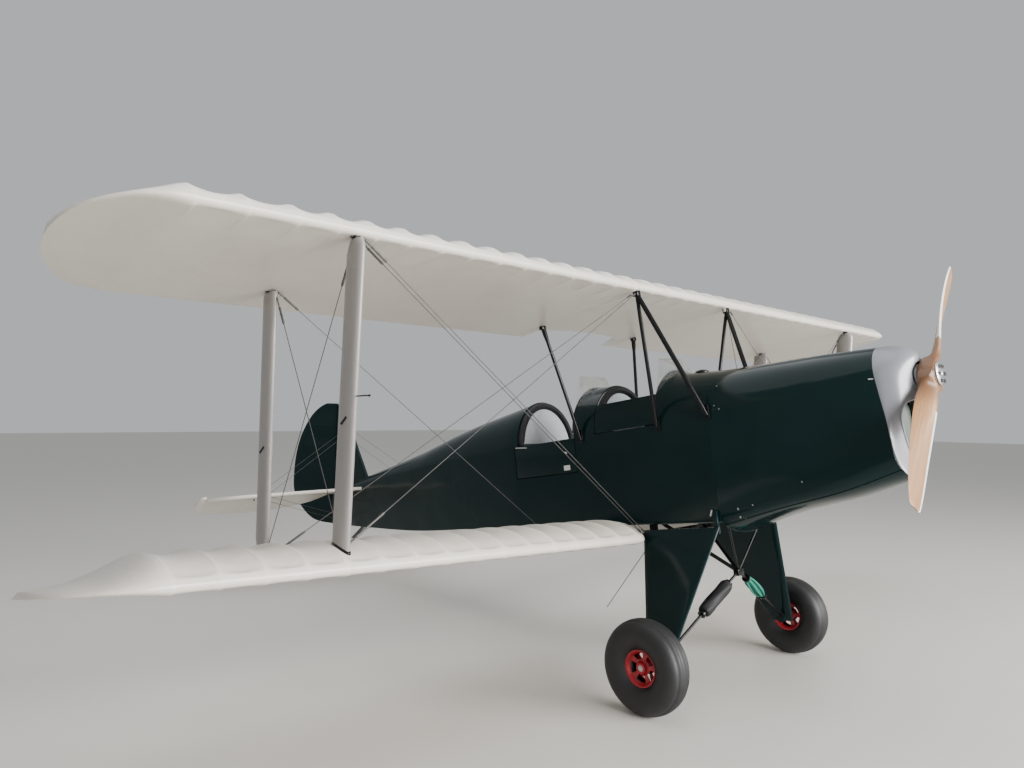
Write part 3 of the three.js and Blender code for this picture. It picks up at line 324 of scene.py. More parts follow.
    def done(self, name, body, finish, slot, stands_for=(), crease=40, wall=0.0, side=1):
        """Merges doubles, faces the skin outwards, parks the mesh and hands it to its body."""
        bm = self.bm
        if side < 0:
            self.mirror()
        bmesh.ops.remove_doubles(bm, verts=list(bm.verts), dist=1e-5)
        bmesh.ops.dissolve_degenerate(bm, dist=1e-6, edges=list(bm.edges))
        bmesh.ops.recalc_face_normals(bm, faces=list(bm.faces))
        self.turn(PARKED)
        for face in bm.faces:
            face.smooth = True
        mesh = bpy.data.meshes.new(name)
        bm.to_mesh(mesh)
        bm.free()
        mesh.set_sharp_from_angle(angle=math.radians(crease))
        mesh.materials.append(finish)
        piece = bpy.data.objects.new(name, mesh)
        bpy.context.scene.collection.objects.link(piece)
        if wall:
            thicken(piece, wall, crease)
        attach(piece, body)
        if stands_for:
            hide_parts(*stands_for)
        return piece


def apply_modifiers(piece):
    depsgraph = bpy.context.evaluated_depsgraph_get()
    mesh = bpy.data.meshes.new_from_object(piece.evaluated_get(depsgraph))
    piece.modifiers.clear()
    piece.data = mesh


def thicken(piece, wall, crease=40, offset=-1):
    """Gives a skin its wall, with sharp rims."""
    sheet = piece.modifiers.new("wall", "SOLIDIFY")
    sheet.thickness = wall
    sheet.offset = offset
    apply_modifiers(piece)
    piece.data.set_sharp_from_angle(angle=math.radians(crease))


# Shader maths

class Value:
    """A number that varies over a surface. Arithmetic on it adds Math nodes."""

    def __init__(self, finish, socket):
        self.finish = finish
        self.socket = socket

    def maths(self, operation, first, second):
        return self.finish.value("ShaderNodeMath", {"operation": operation}, {0: first, 1: second})

    def __add__(self, other):
        return self.maths("ADD", self, other)

    def __radd__(self, other):
        return self.maths("ADD", other, self)

    def __mul__(self, other):
        return self.maths("MULTIPLY", self, other)


class Finish:
    """A material under construction."""

    def __init__(self, name):
        self.material = bpy.data.materials.new(name)
        self.material.use_nodes = True
        self.tree = self.material.node_tree
        self.shader = self.tree.nodes["Principled BSDF"]

    def node(self, kind, settings=None, inputs=None):
        """Adds a node. Settings come first, and then the values or links of its sockets."""
        made = self.tree.nodes.new(kind)
        for key, setting in (settings or {}).items():
            setattr(made, key, setting)
        for key, given in (inputs or {}).items():
            self.feed(made.inputs[key], given)
        return made

    def feed(self, socket, given):
        if isinstance(given, Value):
            self.tree.links.new(given.socket, socket)
        elif isinstance(given, bpy.types.NodeSocket):
            self.tree.links.new(given, socket)
        elif socket.type == "RGBA":
            socket.default_value = (*given[:3], 1)
        else:
            socket.default_value = given

    def value(self, kind, settings, inputs, output=0):
        return Value(self, self.node(kind, settings, inputs).outputs[output])

    def place(self, stretch=(1, 1, 1)):
        coordinates = self.node("ShaderNodeTexCoord").outputs["Object"]
        inputs = {"Vector": coordinates, "Scale": stretch}
        return self.node("ShaderNodeMapping", None, inputs).outputs["Vector"]

    def noise(self, scale, detail=3.0, rough=0.5, stretch=(1, 1, 1)):
        inputs = {"Vector": self.place(stretch), "Scale": scale, "Detail": detail, "Roughness": rough}
        return self.value("ShaderNodeTexNoise", None, inputs)

    def span(self, value, low, high):
        """0 up to the low value and 1 from the high one, smooth between them."""
        inputs = {"Value": value, "From Min": low, "From Max": high}
        return self.value("ShaderNodeMapRange", {"interpolation_type": "SMOOTHSTEP"}, inputs)

    def mix(self, share, first, second):
        return self.node("ShaderNodeMix", {"data_type": "RGBA"}, {0: share, 6: first, 7: second}).outputs[2]

    def along(self, axis):
        """Distance along an axis of the parked object."""
        coordinates = self.node("ShaderNodeTexCoord").outputs["Object"]
        inputs = {0: coordinates, 1: Vector(axis)}
        return self.value("ShaderNodeVectorMath", {"operation": "DOT_PRODUCT"}, inputs, 1)

    def attribute(self, name):
        return self.value("ShaderNodeAttribute", {"attribute_name": name}, None, 2)

    def bump(self, height, strength, distance, under=None):
        inputs = {"Height": height, "Strength": strength, "Distance": distance}
        if under is not None:
            inputs["Normal"] = under
        return self.node("ShaderNodeBump", None, inputs).outputs["Normal"]

    def done(self, **sockets):
        for name, given in sockets.items():
            self.feed(self.shader.inputs[name.replace("_", " ")], given)
        return self.material


FINISHES = {}


def finish_of(maker):
    """The material that a function makes, made once."""
    if maker.__name__ not in FINISHES:
        FINISHES[maker.__name__] = maker(bpy.context.scene.biplane_colours)
    return FINISHES[maker.__name__]


def tint(shade, factor):
    return tuple(min(1.0, channel * factor) for channel in shade)


def gloss_green(paint):
    made = Finish("gloss_green")
    cloud = made.noise(3.1, 2.0)
    dust = made.span(made.noise(26.0, 5.0, 0.65), 0.42, 0.75)
    base = made.mix(cloud * 0.8, tint(paint.green, 0.85), tint(paint.green, 1.25))
    swell = made.bump(made.noise(2.4, 1.0, 0.4, (1, 1, 1.6)), 0.5, 0.02)
    peel = made.bump(made.noise(170.0, 2.0), 0.035, 0.002, swell)
    return made.done(Base_Color=base, Roughness=0.11 + dust * 0.10, Coat_Weight=0.04, Coat_Roughness=0.04,
                     Specular_IOR_Level=0.14, Normal=peel)


def doped_fabric(paint):
    made = Finish("doped_fabric")
    tape = made.span(made.attribute("tape"), 0.35, 0.65)
    stain = made.span(made.noise(5.0, 4.0, 0.6), 0.40, 0.78)
    mottle = made.noise(38.0, 3.0)
    base = made.mix(stain * 0.5, paint.cream, tint(paint.cream, 0.90))
    base = made.mix(tape * 0.45, base, tint(paint.cream, 1.10))
    pucker = made.noise(9.0, 3.0, 0.55, (0.7, 2.6, 1.0))
    weave = made.noise(650.0, 1.0)
    height = made.bump(pucker, 0.16, 0.012)
    height = made.bump(weave + tape * 0.8, 0.10, 0.0012, height)
    return made.done(Base_Color=base, Roughness=0.30 + mottle * 0.14, Coat_Weight=0.30, Coat_Roughness=0.20,
                     Normal=height)


def satin_silver(paint):
    made = Finish("satin_silver")
    cloud = made.noise(7.0, 3.0)
    grime = made.span(made.noise(19.0, 5.0, 0.7), 0.5, 0.8)
    base = made.mix(cloud, tint(paint.silver, 0.93), tint(paint.silver, 1.07))
    base = made.mix(grime * 0.22, base, tint(paint.silver, 0.6))
    return made.done(Base_Color=base, Metallic=0.25, Roughness=0.30 + cloud * 0.14, Coat_Weight=0.25,
                     Coat_Roughness=0.15, Normal=made.bump(made.noise(240.0, 2.0), 0.05, 0.001))


def strut_paint(paint):
    made = Finish("strut_paint")
    streak = made.noise(14.0, 4.0, 0.6, (3.0, 3.0, 0.25))
    scuff = made.span(made.noise(46.0, 4.0, 0.7), 0.60, 0.80)
    base = made.mix(streak, tint(paint.strut, 0.90), tint(paint.strut, 1.10))
    base = made.mix(scuff * 0.35, base, tint(paint.strut, 1.35))
    return made.done(Base_Color=base, Metallic=0.35, Roughness=0.34 + streak * 0.16,
                     Normal=made.bump(streak, 0.06, 0.004))


def gloss_black(paint):
    made = Finish("gloss_black")
    wear = made.span(made.noise(60.0, 4.0, 0.65), 0.64, 0.76)
    base = made.mix(wear * 0.5, paint.black, tint(paint.black, 5.0))
    return made.done(Base_Color=base, Roughness=0.20 + wear * 0.25, Specular_IOR_Level=0.22,
                     Normal=made.bump(made.noise(140.0, 2.0), 0.05, 0.001))


def bright_steel(paint):
    made = Finish("bright_steel")
    drawn = made.noise(120.0, 3.0, 0.6, (1.0, 1.0, 4.0))
    base = made.mix(drawn, (0.42, 0.42, 0.43), (0.62, 0.62, 0.63))
    return made.done(Base_Color=base, Metallic=1.0, Roughness=0.22 + drawn * 0.20)


def dull_steel(paint):
    made = Finish("dull_steel")
    stain = made.noise(42.0, 5.0, 0.7)
    base = made.mix(stain, (0.045, 0.045, 0.048), (0.15, 0.145, 0.14))
    return made.done(Base_Color=base, Metallic=0.7, Roughness=0.38 + stain * 0.30,
                     Normal=made.bump(stain, 0.12, 0.001))


def cast_metal(paint):
    made = Finish("cast_metal")
    grain = made.noise(70.0, 5.0, 0.7)
    base = made.mix(grain, (0.05, 0.05, 0.052), (0.16, 0.16, 0.16))
    return made.done(Base_Color=base, Metallic=0.6, Roughness=0.5 + grain * 0.3,
                     Normal=made.bump(grain, 0.4, 0.002))


def laminated_wood(paint):
    made = Finish("laminated_wood")
    wobble = made.noise(3.2, 2.0) * 0.010
    ply = made.along(SHAFT_AXIS) + wobble
    bands = made.node("ShaderNodeCombineXYZ", None, {"X": ply}).outputs[0]
    layers = made.value("ShaderNodeTexWave", {"wave_type": "BANDS", "bands_direction": "X"},
                        {"Vector": bands, "Scale": 26.0, "Distortion": 0.0}, 1)
    fibre = made.noise(16.0, 6.0, 0.65, (6.0, 1.0, 0.7))
    # The blades' roots and the hub are painted darker: partly the wood's darker tone there, partly painted
    # shade near the hub
    root = made.attribute("tape")
    light = made.mix(fibre, tint(paint.pale_wood, 1.22), tint(paint.pale_wood, 0.72))
    base = made.mix(made.span(layers, 0.62, 0.92) * 0.55, light, paint.dark_wood)
    base = made.mix(root * 0.95, base, tint(paint.dark_wood, 0.60))
    return made.done(Base_Color=base, Roughness=0.30 + fibre * 0.14, Coat_Weight=0.15,
                     Coat_Roughness=0.15, Specular_IOR_Level=0.3, Normal=made.bump(fibre, 0.06, 0.001))


def edge_strip(paint):
    made = Finish("edge_strip")
    scuff = made.noise(60.0, 4.0, 0.7)
    base = made.mix(scuff, (0.80, 0.78, 0.75), (0.62, 0.60, 0.57))
    return made.done(Base_Color=base, Roughness=0.28 + scuff * 0.2)


def clear_sheet(paint):
    made = Finish("clear_sheet")
    haze = made.noise(11.0, 3.0)
    return made.done(Base_Color=(0.93, 0.95, 0.95), Transmission_Weight=1.0, IOR=1.46,
                     Roughness=0.02 + haze * 0.05, Alpha=0.50 + haze * 0.12)


def mottled_felt(paint):
    made = Finish("mottled_felt")
    fleck = made.span(made.noise(260.0, 4.0, 0.8), 0.40, 0.62)
    cloud = made.noise(34.0, 4.0, 0.7)
    base = made.mix(fleck, tint(paint.felt, 0.62), tint(paint.felt, 1.5))
    base = made.mix(cloud * 0.5, base, tint(paint.felt, 1.12))
    nap = made.bump(made.noise(420.0, 3.0, 0.8), 0.5, 0.0016)
    return made.done(Base_Color=base, Roughness=0.93, Sheen_Weight=0.25, Normal=nap)


def padded_leather(paint):
    made = Finish("padded_leather")
    grain = made.value("ShaderNodeTexVoronoi", {"feature": "DISTANCE_TO_EDGE"},
                       {"Vector": made.place(), "Scale": 420.0})
    cloud = made.noise(22.0, 3.0)
    base = made.mix(cloud, paint.leather, tint(paint.leather, 2.4))
    return made.done(Base_Color=base, Roughness=0.42 + cloud * 0.2, Specular_IOR_Level=0.2,
                     Normal=made.bump(grain, 0.3, 0.0008))


def tyre_rubber(paint):
    made = Finish("tyre_rubber")
    dust = made.span(made.noise(13.0, 5.0, 0.7), 0.45, 0.8)
    base = made.mix(dust * 0.5, paint.rubber, tint(paint.rubber, 3.6))
    return made.done(Base_Color=base, Roughness=0.52 + dust * 0.25,
                     Normal=made.bump(made.noise(300.0, 3.0), 0.12, 0.001))


def hub_plastic(paint):
    made = Finish("hub_plastic")
    cloud = made.noise(15.0, 4.0, 0.6)
    base = made.mix(cloud, tint(paint.red, 0.80), tint(paint.red, 1.2))
    return made.done(Base_Color=base, Roughness=0.28 + cloud * 0.2,
                     Normal=made.bump(made.noise(190.0, 2.0), 0.08, 0.001))


def shock_cord(paint):
    made = Finish("shock_cord")
    braid = made.noise(230.0, 2.0)
    base = made.mix(braid, tint(paint.cord_green, 0.6), tint(paint.cord_green, 1.5))
    return made.done(Base_Color=base, Roughness=0.8, Normal=made.bump(braid, 0.4, 0.001))


def baffle_paint(paint):
    made = Finish("baffle_paint")
    cloud = made.noise(24.0, 4.0, 0.6)
    base = made.mix(cloud, (0.070, 0.085, 0.075), (0.120, 0.140, 0.125))
    return made.done(Base_Color=base, Roughness=0.55 + cloud * 0.2)


# Wings

# Section of the wing. Columns: share of the chord from the nose, height over the flat underside in chords
UPPER_SECTION = [(0.000, 0.026), (0.006, 0.043), (0.018, 0.059), (0.060, 0.091), (0.150, 0.125),
                 (0.300, 0.143), (0.500, 0.129), (0.700, 0.089), (0.880, 0.036), (1.000, 0.006)]
FLAT_SHARES = (0.045, 0.150, 0.300, 0.500, 0.700, 0.880, 1.000)
LOWER_SECTION = [(0.006, 0.011), (0.020, 0.003)] + [(share, 0.000) for share in FLAT_SHARES]
CHORD = 1.2
# The underside has its height, "under", at the datum's x, and slopes from there
UPPER_WING = {"nose": 0.045, "tip": 3.785, "slope": 0.030, "datum": 0.010, "under": 2.278,
              "dihedral": 0.0, "last_rib": 3.400}
LOWER_WING = {"nose": -0.154, "tip": 3.845, "slope": 0.018, "datum": 0.120, "under": 0.650,
              "dihedral": 0.04066, "last_rib": 3.455}
# Ribs of the upper wing: in the middle, at an even pitch, and the last but one. Then those of the lower wing
CENTRE_RIBS = [0.0, 0.195, 0.390, 0.585]
EVEN_RIBS = {"first": 0.78, "count": 12}
TIP_RIB = 3.18
LOWER_RIBS = 16
LOWER_PITCH_SHARE = 0.963
CENTRE_HALF = 0.55
PANEL_GAP = 0.0015
LOWER_ROOT = 0.43
LOWER_FLARE = 0.14
# Rounded tips. Columns: distance in from the tip, nose and tail drawn in, fullness of the section
TIP_ROWS = [(0.455, 0.0, 0.0, 1.0), (0.390, 0.001, 0.001, 1.0), (0.305, 0.008, 0.006, 0.72),
            (0.185, 0.070, 0.050, 0.36), (0.095, 0.175, 0.196, 0.26), (0.040, 0.285, 0.337, 0.21),
            (0.008, 0.42, 0.47, 0.19), (0.0, 0.515, 0.560, 0.17)]
CUT_OUT = {"half": 0.475, "corner": -0.965, "crown": -0.880}
AILERON = {"hinge": -1.165, "rise": 0.027, "inner": 1.750, "outer": 3.330, "nose": 0.0255,
           "cove": 0.034, "rest": 8.0, "gap": 0.006}
OUTLINE = curve(list(reversed(UPPER_SECTION)) + LOWER_SECTION, 4)
NOSE_INDEX = min(range(len(OUTLINE)), key=lambda number: OUTLINE[number][0])
UPPER_LINE = [tuple(row) for row in OUTLINE[:NOSE_INDEX + 1]]
LOWER_LINE = [tuple(row) for row in OUTLINE[NOSE_INDEX + 1:]]
TIP_CURVE = curve(TIP_ROWS, 5)


def under_at(wing, y):
    return wing["under"] + abs(y) * wing["dihedral"]


def rib_stations(wing):
    """Ribs of one half of a wing, from the inside out."""
    pitch = sizes().rib_pitch
    if wing is LOWER_WING:
        pitch *= LOWER_PITCH_SHARE
        return [LOWER_ROOT] + [wing["last_rib"] - pitch * number for number in reversed(range(LOWER_RIBS))]
    even = [EVEN_RIBS["first"] + pitch * number for number in range(EVEN_RIBS["count"])]
    return CENTRE_RIBS + even + [TIP_RIB, wing["last_rib"]]


def bay_sag(wing, y):
    """Sag between the two ribs beside y: 0 on a rib and 1 in mid bay, less in a narrow bay."""
    ribs = rib_stations(wing)
    if abs(y) >= ribs[-1]:
        return 0.0
    inner = max(rib for rib in ribs if rib <= abs(y) + 1e-9)
    outer = min(rib for rib in ribs if rib > abs(y) + 1e-9)
    share = (abs(y) - inner) / (outer - inner)
    return 4 * share * (1 - share) * min(1.0, ((outer - inner) / 0.19) ** 2)


def from_rib(wing, y):
    return min(abs(abs(y) - rib) for rib in rib_stations(wing))


def on_tape(wing, y):
    return 1.0 if from_rib(wing, y) <= sizes().rib_tape / 2 else 0.0


def span_stations(wing, inner, outer):
    """Stations along a wing, close together at the ribs and at the tip."""
    half = sizes().rib_tape / 2
    found = {round(inner, 5), round(outer, 5)}
    ribs = rib_stations(wing)
    beside = (-0.02, -half - 0.002, -half, -0.006, 0, 0.006, half, half + 0.002, 0.02)
    for rib in [-rib for rib in ribs] + ribs:
        found |= {round(rib + offset, 5) for offset in beside}
    marks = sorted({-rib for rib in ribs} | set(ribs))
    for low, high in zip(marks, marks[1:]):
        found |= {round(lerp(low, high, share), 5) for share in (0.2, 0.35, 0.5, 0.65, 0.8)}
    start = wing["last_rib"] + 0.02
    reach = wing["tip"] - start
    found |= {round(start + reach * math.sin(angle), 5) for angle in steps(18, 0, math.pi / 2)}
    return sorted(y for y in found if inner <= y <= outer)


def plan_of(wing, y):
    """Nose, tail, underside and fullness of a wing at a station."""
    inset = wing["tip"] - abs(y)
    nose_trim, tail_trim, full = (column(TIP_CURVE, 0, inset, into) for into in (1, 2, 3))
    flare = max(0.0, 1 - (abs(y) - LOWER_ROOT) / LOWER_FLARE) ** 1.5 if wing is LOWER_WING else 0.0
    nose = wing["nose"] - nose_trim - 0.110 * flare
    tail = wing["nose"] - CHORD + tail_trim + 0.030 * flare
    return nose, tail, under_at(wing, y), full * (1 - 0.08 * flare)


def wing_point(wing, y, plan, share, height, upper):
    """A point of the section, with the sag between ribs and the ridge over a rib."""
    nose, tail, under, thick = plan
    size = sizes()
    ridge = 0.0022 * (1 - ramp(from_rib(wing, y), 0.001, 0.011))
    blunt = 1 - ramp(share, 0.0, 0.02)
    if upper:
        front = ramp(share, 0.004, 0.032) * (1 - 0.80 * ramp(share, 0.30, 1.0))
        rise = -size.upper_sag * bay_sag(wing, y) * front + ridge * (1 - blunt) * (1 - ramp(share, 0.9, 1.0))
    else:
        front = 1 - ramp(share, 0.07, 0.20)
        sag = size.lower_sag * bay_sag(wing, y) * ramp(share, 0.010, 0.040)
        rise = sag * front - ridge * (1 - blunt) * front
    x = nose - share * (nose - tail) + ridge * blunt
    z = under + (x - wing["datum"]) * wing["slope"] + (1 - thick) * 0.028 + height * CHORD * thick
    return Vector((x, y, z + rise))


def top_at(wing, x, y):
    """Height of a wing's upper skin."""
    plan = plan_of(wing, y)
    share = (plan[0] - x) / (plan[0] - plan[1])
    return wing_point(wing, y, plan, share, column(UPPER_LINE, 0, share, 1), True).z


def wing_ring(wing, y, cut=None, cove=None):
    """The section at a station. It may end at a cut, with a hollow for an aileron's round nose."""
    plan = plan_of(wing, y)
    limit = 1.0 if cut is None else (plan[0] - cut) / (plan[0] - plan[1])

    def row(line, upper):
        points = []
        for share, height in line:
            if share > limit:
                share, height = limit, column(line, 0, limit, 1)
            points.append(wing_point(wing, y, plan, share, height, upper))
        return points
    upper, lower = row(UPPER_LINE, True), row(LOWER_LINE, False)
    back = [lower[-1].lerp(upper[0], share) for share in steps(6)[1:-1]]
    if cove:
        for point in back:
            point.x = cove.x + math.sqrt(max(AILERON["cove"] ** 2 - (point - cove).z ** 2, 0))
    return upper + lower + back


def taped(piece, wing, rings, stations):
    """Lofts a skin with its tapes, which stay off the smooth part of the underside."""
    count = len(rings[0])
    whole = piece.loft(rings, marks=[on_tape(wing, y) for y in stations])
    lower = {len(UPPER_LINE) + number for number, (share, _) in enumerate(LOWER_LINE) if share > 0.09}
    for number, vert in enumerate(whole):
        if number % count in lower:
            vert[piece.tape] = 0.0


def aileron_centre(y):
    slope = (AILERON["hinge"] - LOWER_WING["datum"]) * LOWER_WING["slope"]
    z = under_at(LOWER_WING, y) + slope + AILERON["rise"]
    return Vector((AILERON["hinge"], y, z))


def aileron_ring(y):
    plan = plan_of(LOWER_WING, y)
    start = (plan[0] - AILERON["hinge"]) / (plan[0] - plan[1])
    centre = aileron_centre(y)
    upper = [wing_point(LOWER_WING, y, plan, *row, True) for row in UPPER_LINE if row[0] > start]
    lower = [wing_point(LOWER_WING, y, plan, *row, False) for row in LOWER_LINE if row[0] > start]
    nose = [centre + Vector((AILERON["nose"] * math.cos(a), 0, AILERON["nose"] * math.sin(a)))
            for a in steps(10, math.radians(88), math.radians(-88))]
    return upper + nose + lower


def make_upper_wing(name, side):
    wing = Piece()
    stations = span_stations(UPPER_WING, CENTRE_HALF + PANEL_GAP, UPPER_WING["tip"])
    taped(wing, UPPER_WING, [wing_ring(UPPER_WING, y) for y in stations], stations)
    wing.done("upper_wing_skin_" + name, "airframe", finish_of(doped_fabric), "cream_fabric",
              ("upper_wing_" + name,), side=side, crease=60)


def cut_out(y):
    """Where the centre section ends at its cut-out, a shallow arc open to the rear."""
    if abs(y) > CUT_OUT["half"]:
        return None
    share = (y / CUT_OUT["half"] + 1) / 2
    return lerp(CUT_OUT["corner"], 2 * CUT_OUT["crown"] - CUT_OUT["corner"], 2 * share * (1 - share))


def make_centre_section():
    wing = Piece()
    half = CUT_OUT["half"]
    edge = CENTRE_HALF - PANEL_GAP
    arc = {round(y, 5) for y in steps(24, -half, half)}
    across = sorted(set(span_stations(UPPER_WING, -edge, edge)) | arc)
    rings = []
    stations = []
    for y in across:
        cuts = [cut_out(y)]
        if abs(abs(y) - half) < 1e-6:
            cuts = [None, cut_out(y)] if y < 0 else [cut_out(y), None]
        for cut in cuts:
            rings.append(wing_ring(UPPER_WING, y, cut))
            stations.append(y)
    taped(wing, UPPER_WING, rings, stations)
    wing.done("upper_wing_centre_skin", "airframe", finish_of(doped_fabric), "cream_fabric",
              ("upper_wing_centre",), crease=60)


def make_lower_wing(name, side):
    wing = Piece()
    inner, outer = AILERON["inner"] - AILERON["gap"], AILERON["outer"] + AILERON["gap"]
    reach = math.sqrt(AILERON["cove"] ** 2 - AILERON["rise"] ** 2)
    rings = []
    stations = []
    for y in sorted(set(span_stations(LOWER_WING, LOWER_ROOT, LOWER_WING["tip"])) | {inner, outer}):
        whole = wing_ring(LOWER_WING, y)
        notched = wing_ring(LOWER_WING, y, AILERON["hinge"] + reach, aileron_centre(y))
        if y in (inner, outer):
            fresh = [whole, notched] if y == inner else [notched, whole]
        else:
            fresh = [notched if inner < y < outer else whole]
        rings += fresh
        stations += [y] * len(fresh)
    taped(wing, LOWER_WING, rings, stations)
    wing.done("lower_wing_skin_" + name, "airframe", finish_of(doped_fabric), "cream_fabric",
              ("lower_wing_" + name,), side=side, crease=60)


def make_aileron(name, side):
    flap = Piece()
    stations = span_stations(LOWER_WING, AILERON["inner"], AILERON["outer"])
    flap.loft([aileron_ring(y) for y in stations], marks=[on_tape(LOWER_WING, y) for y in stations])
    if side < 0:
        flap.mirror()
    hinge = aileron_centre(AILERON["inner"])
    hinge.y *= side
    flap.turn(turn_about(hinge, (0, 1, side * LOWER_WING["dihedral"]), side * AILERON["rest"]))
    flap.done("aileron_skin_" + name, "aileron_" + name, finish_of(doped_fabric), "cream_fabric",
              ("aileron_" + name,), crease=60)


# Fuselage

BODY_HALF = 0.332
LONGERON = 1.425
COAMING_TOP = 1.800
FIREWALL = 0.273
FRONT_RIM = -0.120
FRONT_BACK = -0.660
REAR_RIM = -0.860
REAR_BACK = -1.462
TUB_END = -1.530
# Cowling. Columns: x, half width, deck top, shoulder, belly corner, belly bottom, lean of the section
COWL_ROWS = [(1.250, 0.212, 1.688, 1.480, 1.070, 0.932, 0.11),
             (0.950, 0.262, 1.708, 1.452, 0.960, 0.850, 0.07),
             (0.600, 0.302, 1.724, 1.434, 0.880, 0.783, 0.03),
             (0.2735, BODY_HALF, 1.738, LONGERON, 0.830, 0.683, 0.0)]
# Rear fuselage, same columns
TAIL_ROWS = [(TUB_END, BODY_HALF, 1.779, LONGERON, 0.800, 0.786, 0.0),
             (-2.366, 0.262, 1.675, 1.398, 0.806, 0.792, 0.0),
             (-3.095, 0.196, 1.543, 1.370, 0.814, 0.800, 0.0),
             (-4.095, 0.106, 1.405, 1.322, 0.876, 0.866, 0.0),
             (-4.832, 0.034, 1.296, 1.272, 0.940, 0.934, -0.183)]
SEAM_ANGLE = math.asin(1 - 0.42)
SEAM_GAP = 0.002
FRONT_DOOR = {"front": -0.128, "back": -0.654, "low": 1.431, "high": 1.635}
REAR_DOOR = {"front": -0.858, "back": -1.495, "low": 1.175, "high": LONGERON}
REAR_OPENING = {"front": -0.853, "back": -1.500, "low": 1.170}
# Deck tops. Columns: x, height of the arch
FRONT_DECK = [(FIREWALL, 1.738), (-0.020, 1.772), (FRONT_RIM, COAMING_TOP)]
MID_DECK = [(FRONT_BACK, 1.794), (REAR_RIM, COAMING_TOP)]
REAR_ARCH = [(REAR_BACK, 1.790), (TUB_END, 1.779)]
# Heights of the points down the tub's sides
SIDE_LEVELS = [1.34, 1.25, 1.17, 1.05, 0.92]
# Shares of the way down a straight side
FALLS = (0.25, 0.5, 0.75)


def deck_point(row, angle):
    x, half, top, shoulder, _, _, lean = row
    z = shoulder + (top - shoulder) * math.sin(angle)
    return Vector((x + lean * (top - z), half * math.cos(angle), z))


def belly_point(row, angle):
    x, half, top, _, corner, bottom, lean = row
    z = corner - (corner - bottom) * math.sin(angle)
    return Vector((x + lean * (top - z), -half * math.cos(angle), z))


def hood_ring(row, seam):
    """From the left seam up over the deck to the right seam."""
    left = [belly_point(row, angle) for angle in steps(5, math.pi - seam, math.pi)]
    deck = [deck_point(row, angle) for angle in steps(36, 0, math.pi)]
    right = [belly_point(row, angle) for angle in steps(5, 0, seam)]
    rise = [left[-1].lerp(deck[0], share) for share in FALLS]
    fall = [deck[-1].lerp(right[0], share) for share in FALLS]
    return left + rise + deck + fall + right


def full_ring(row, falls=FALLS):
    """All round: over the deck, down the right side, under the belly and up the left side."""
    deck = [deck_point(row, angle) for angle in steps(36, 0, math.pi)]
    belly = [belly_point(row, angle) for angle in steps(18, 0, math.pi)]
    fall = [deck[-1].lerp(belly[0], share) for share in falls]
    rise = [deck[0].lerp(belly[-1], share) for share in reversed(falls)]
    return deck + fall + belly + rise


def make_cowling():
    paint = finish_of(gloss_green)
    rows = curve(COWL_ROWS, 8)
    hood = Piece()
    hood.loft([hood_ring(row, SEAM_ANGLE - SEAM_GAP) for row in rows], closed=False)
    hood.done("engine_hood_skin", "airframe", paint, "dark_green", ("engine_hood",), wall=sizes().skin)
    tray = Piece()
    across = steps(24, SEAM_ANGLE + SEAM_GAP, math.pi - SEAM_ANGLE - SEAM_GAP)
    tray.loft([[belly_point(row, angle) for angle in across] for row in rows], closed=False)
    tray.done("belly_tray_skin", "airframe", paint, "dark_green", ("belly_tray",), wall=sizes().skin)
    lip = Piece()
    arc = steps(28, SEAM_ANGLE + 0.02, math.pi - SEAM_ANGLE - 0.02)
    lip.tube([belly_point(rows[-1], angle) for angle in arc], 0.006, 8)
    lip.done("belly_tray_lip", "airframe", paint, "dark_green")


# Nose bowl. Its front leans back below a level and bows to the sides, and its chin curves less than its top.
BOWL = {"front": 1.445, "bow": 2.5, "slope": 0.19, "level": 1.370, "middle": 1.310, "shrink": 0.25,
        "chin": 0.12}
SHAFT_HEIGHT = 1.482
SHAFT_HOLE = 0.092
# Half of the egg-shaped intake, from its foot up. Columns: half width, height
INTAKE = [(0.0, 1.010), (0.062, 1.022), (0.104, 1.070), (0.148, 1.190), (0.163, 1.285), (0.145, 1.342),
          (0.075, 1.363), (0.0, 1.365)]


def bowl_front(y, z):
    return BOWL["front"] - BOWL["slope"] * max(0.0, BOWL["level"] - z) - BOWL["bow"] * y * y


def bowl_ring(share):
    middle = BOWL["middle"]
    drop = 1 - math.sqrt(max(1 - share * share, 0))
    ring = []
    for point in full_ring(COWL_ROWS[0]):
        shrink = BOWL["chin"] if point.z < middle else BOWL["shrink"]
        z = middle + (point.z - middle) * (1 - shrink * drop)
        y = point.y * (1 - BOWL["shrink"] * drop)
        ring.append(Vector((lerp(point.x, bowl_front(y, z), share), y, z)))
    return ring


def hole_outlines():
    """Outlines of the shaft's gap and of the intake, as rows of y and z."""
    gap = [(SHAFT_HOLE * math.cos(a), SHAFT_HEIGHT + SHAFT_HOLE * math.sin(a))
           for a in steps(64, 0, 2 * math.pi)[:-1]]
    half = [tuple(row) for row in curve(INTAKE, 5)]
    return gap, half + [(-y, z) for y, z in reversed(half[1:-1])]


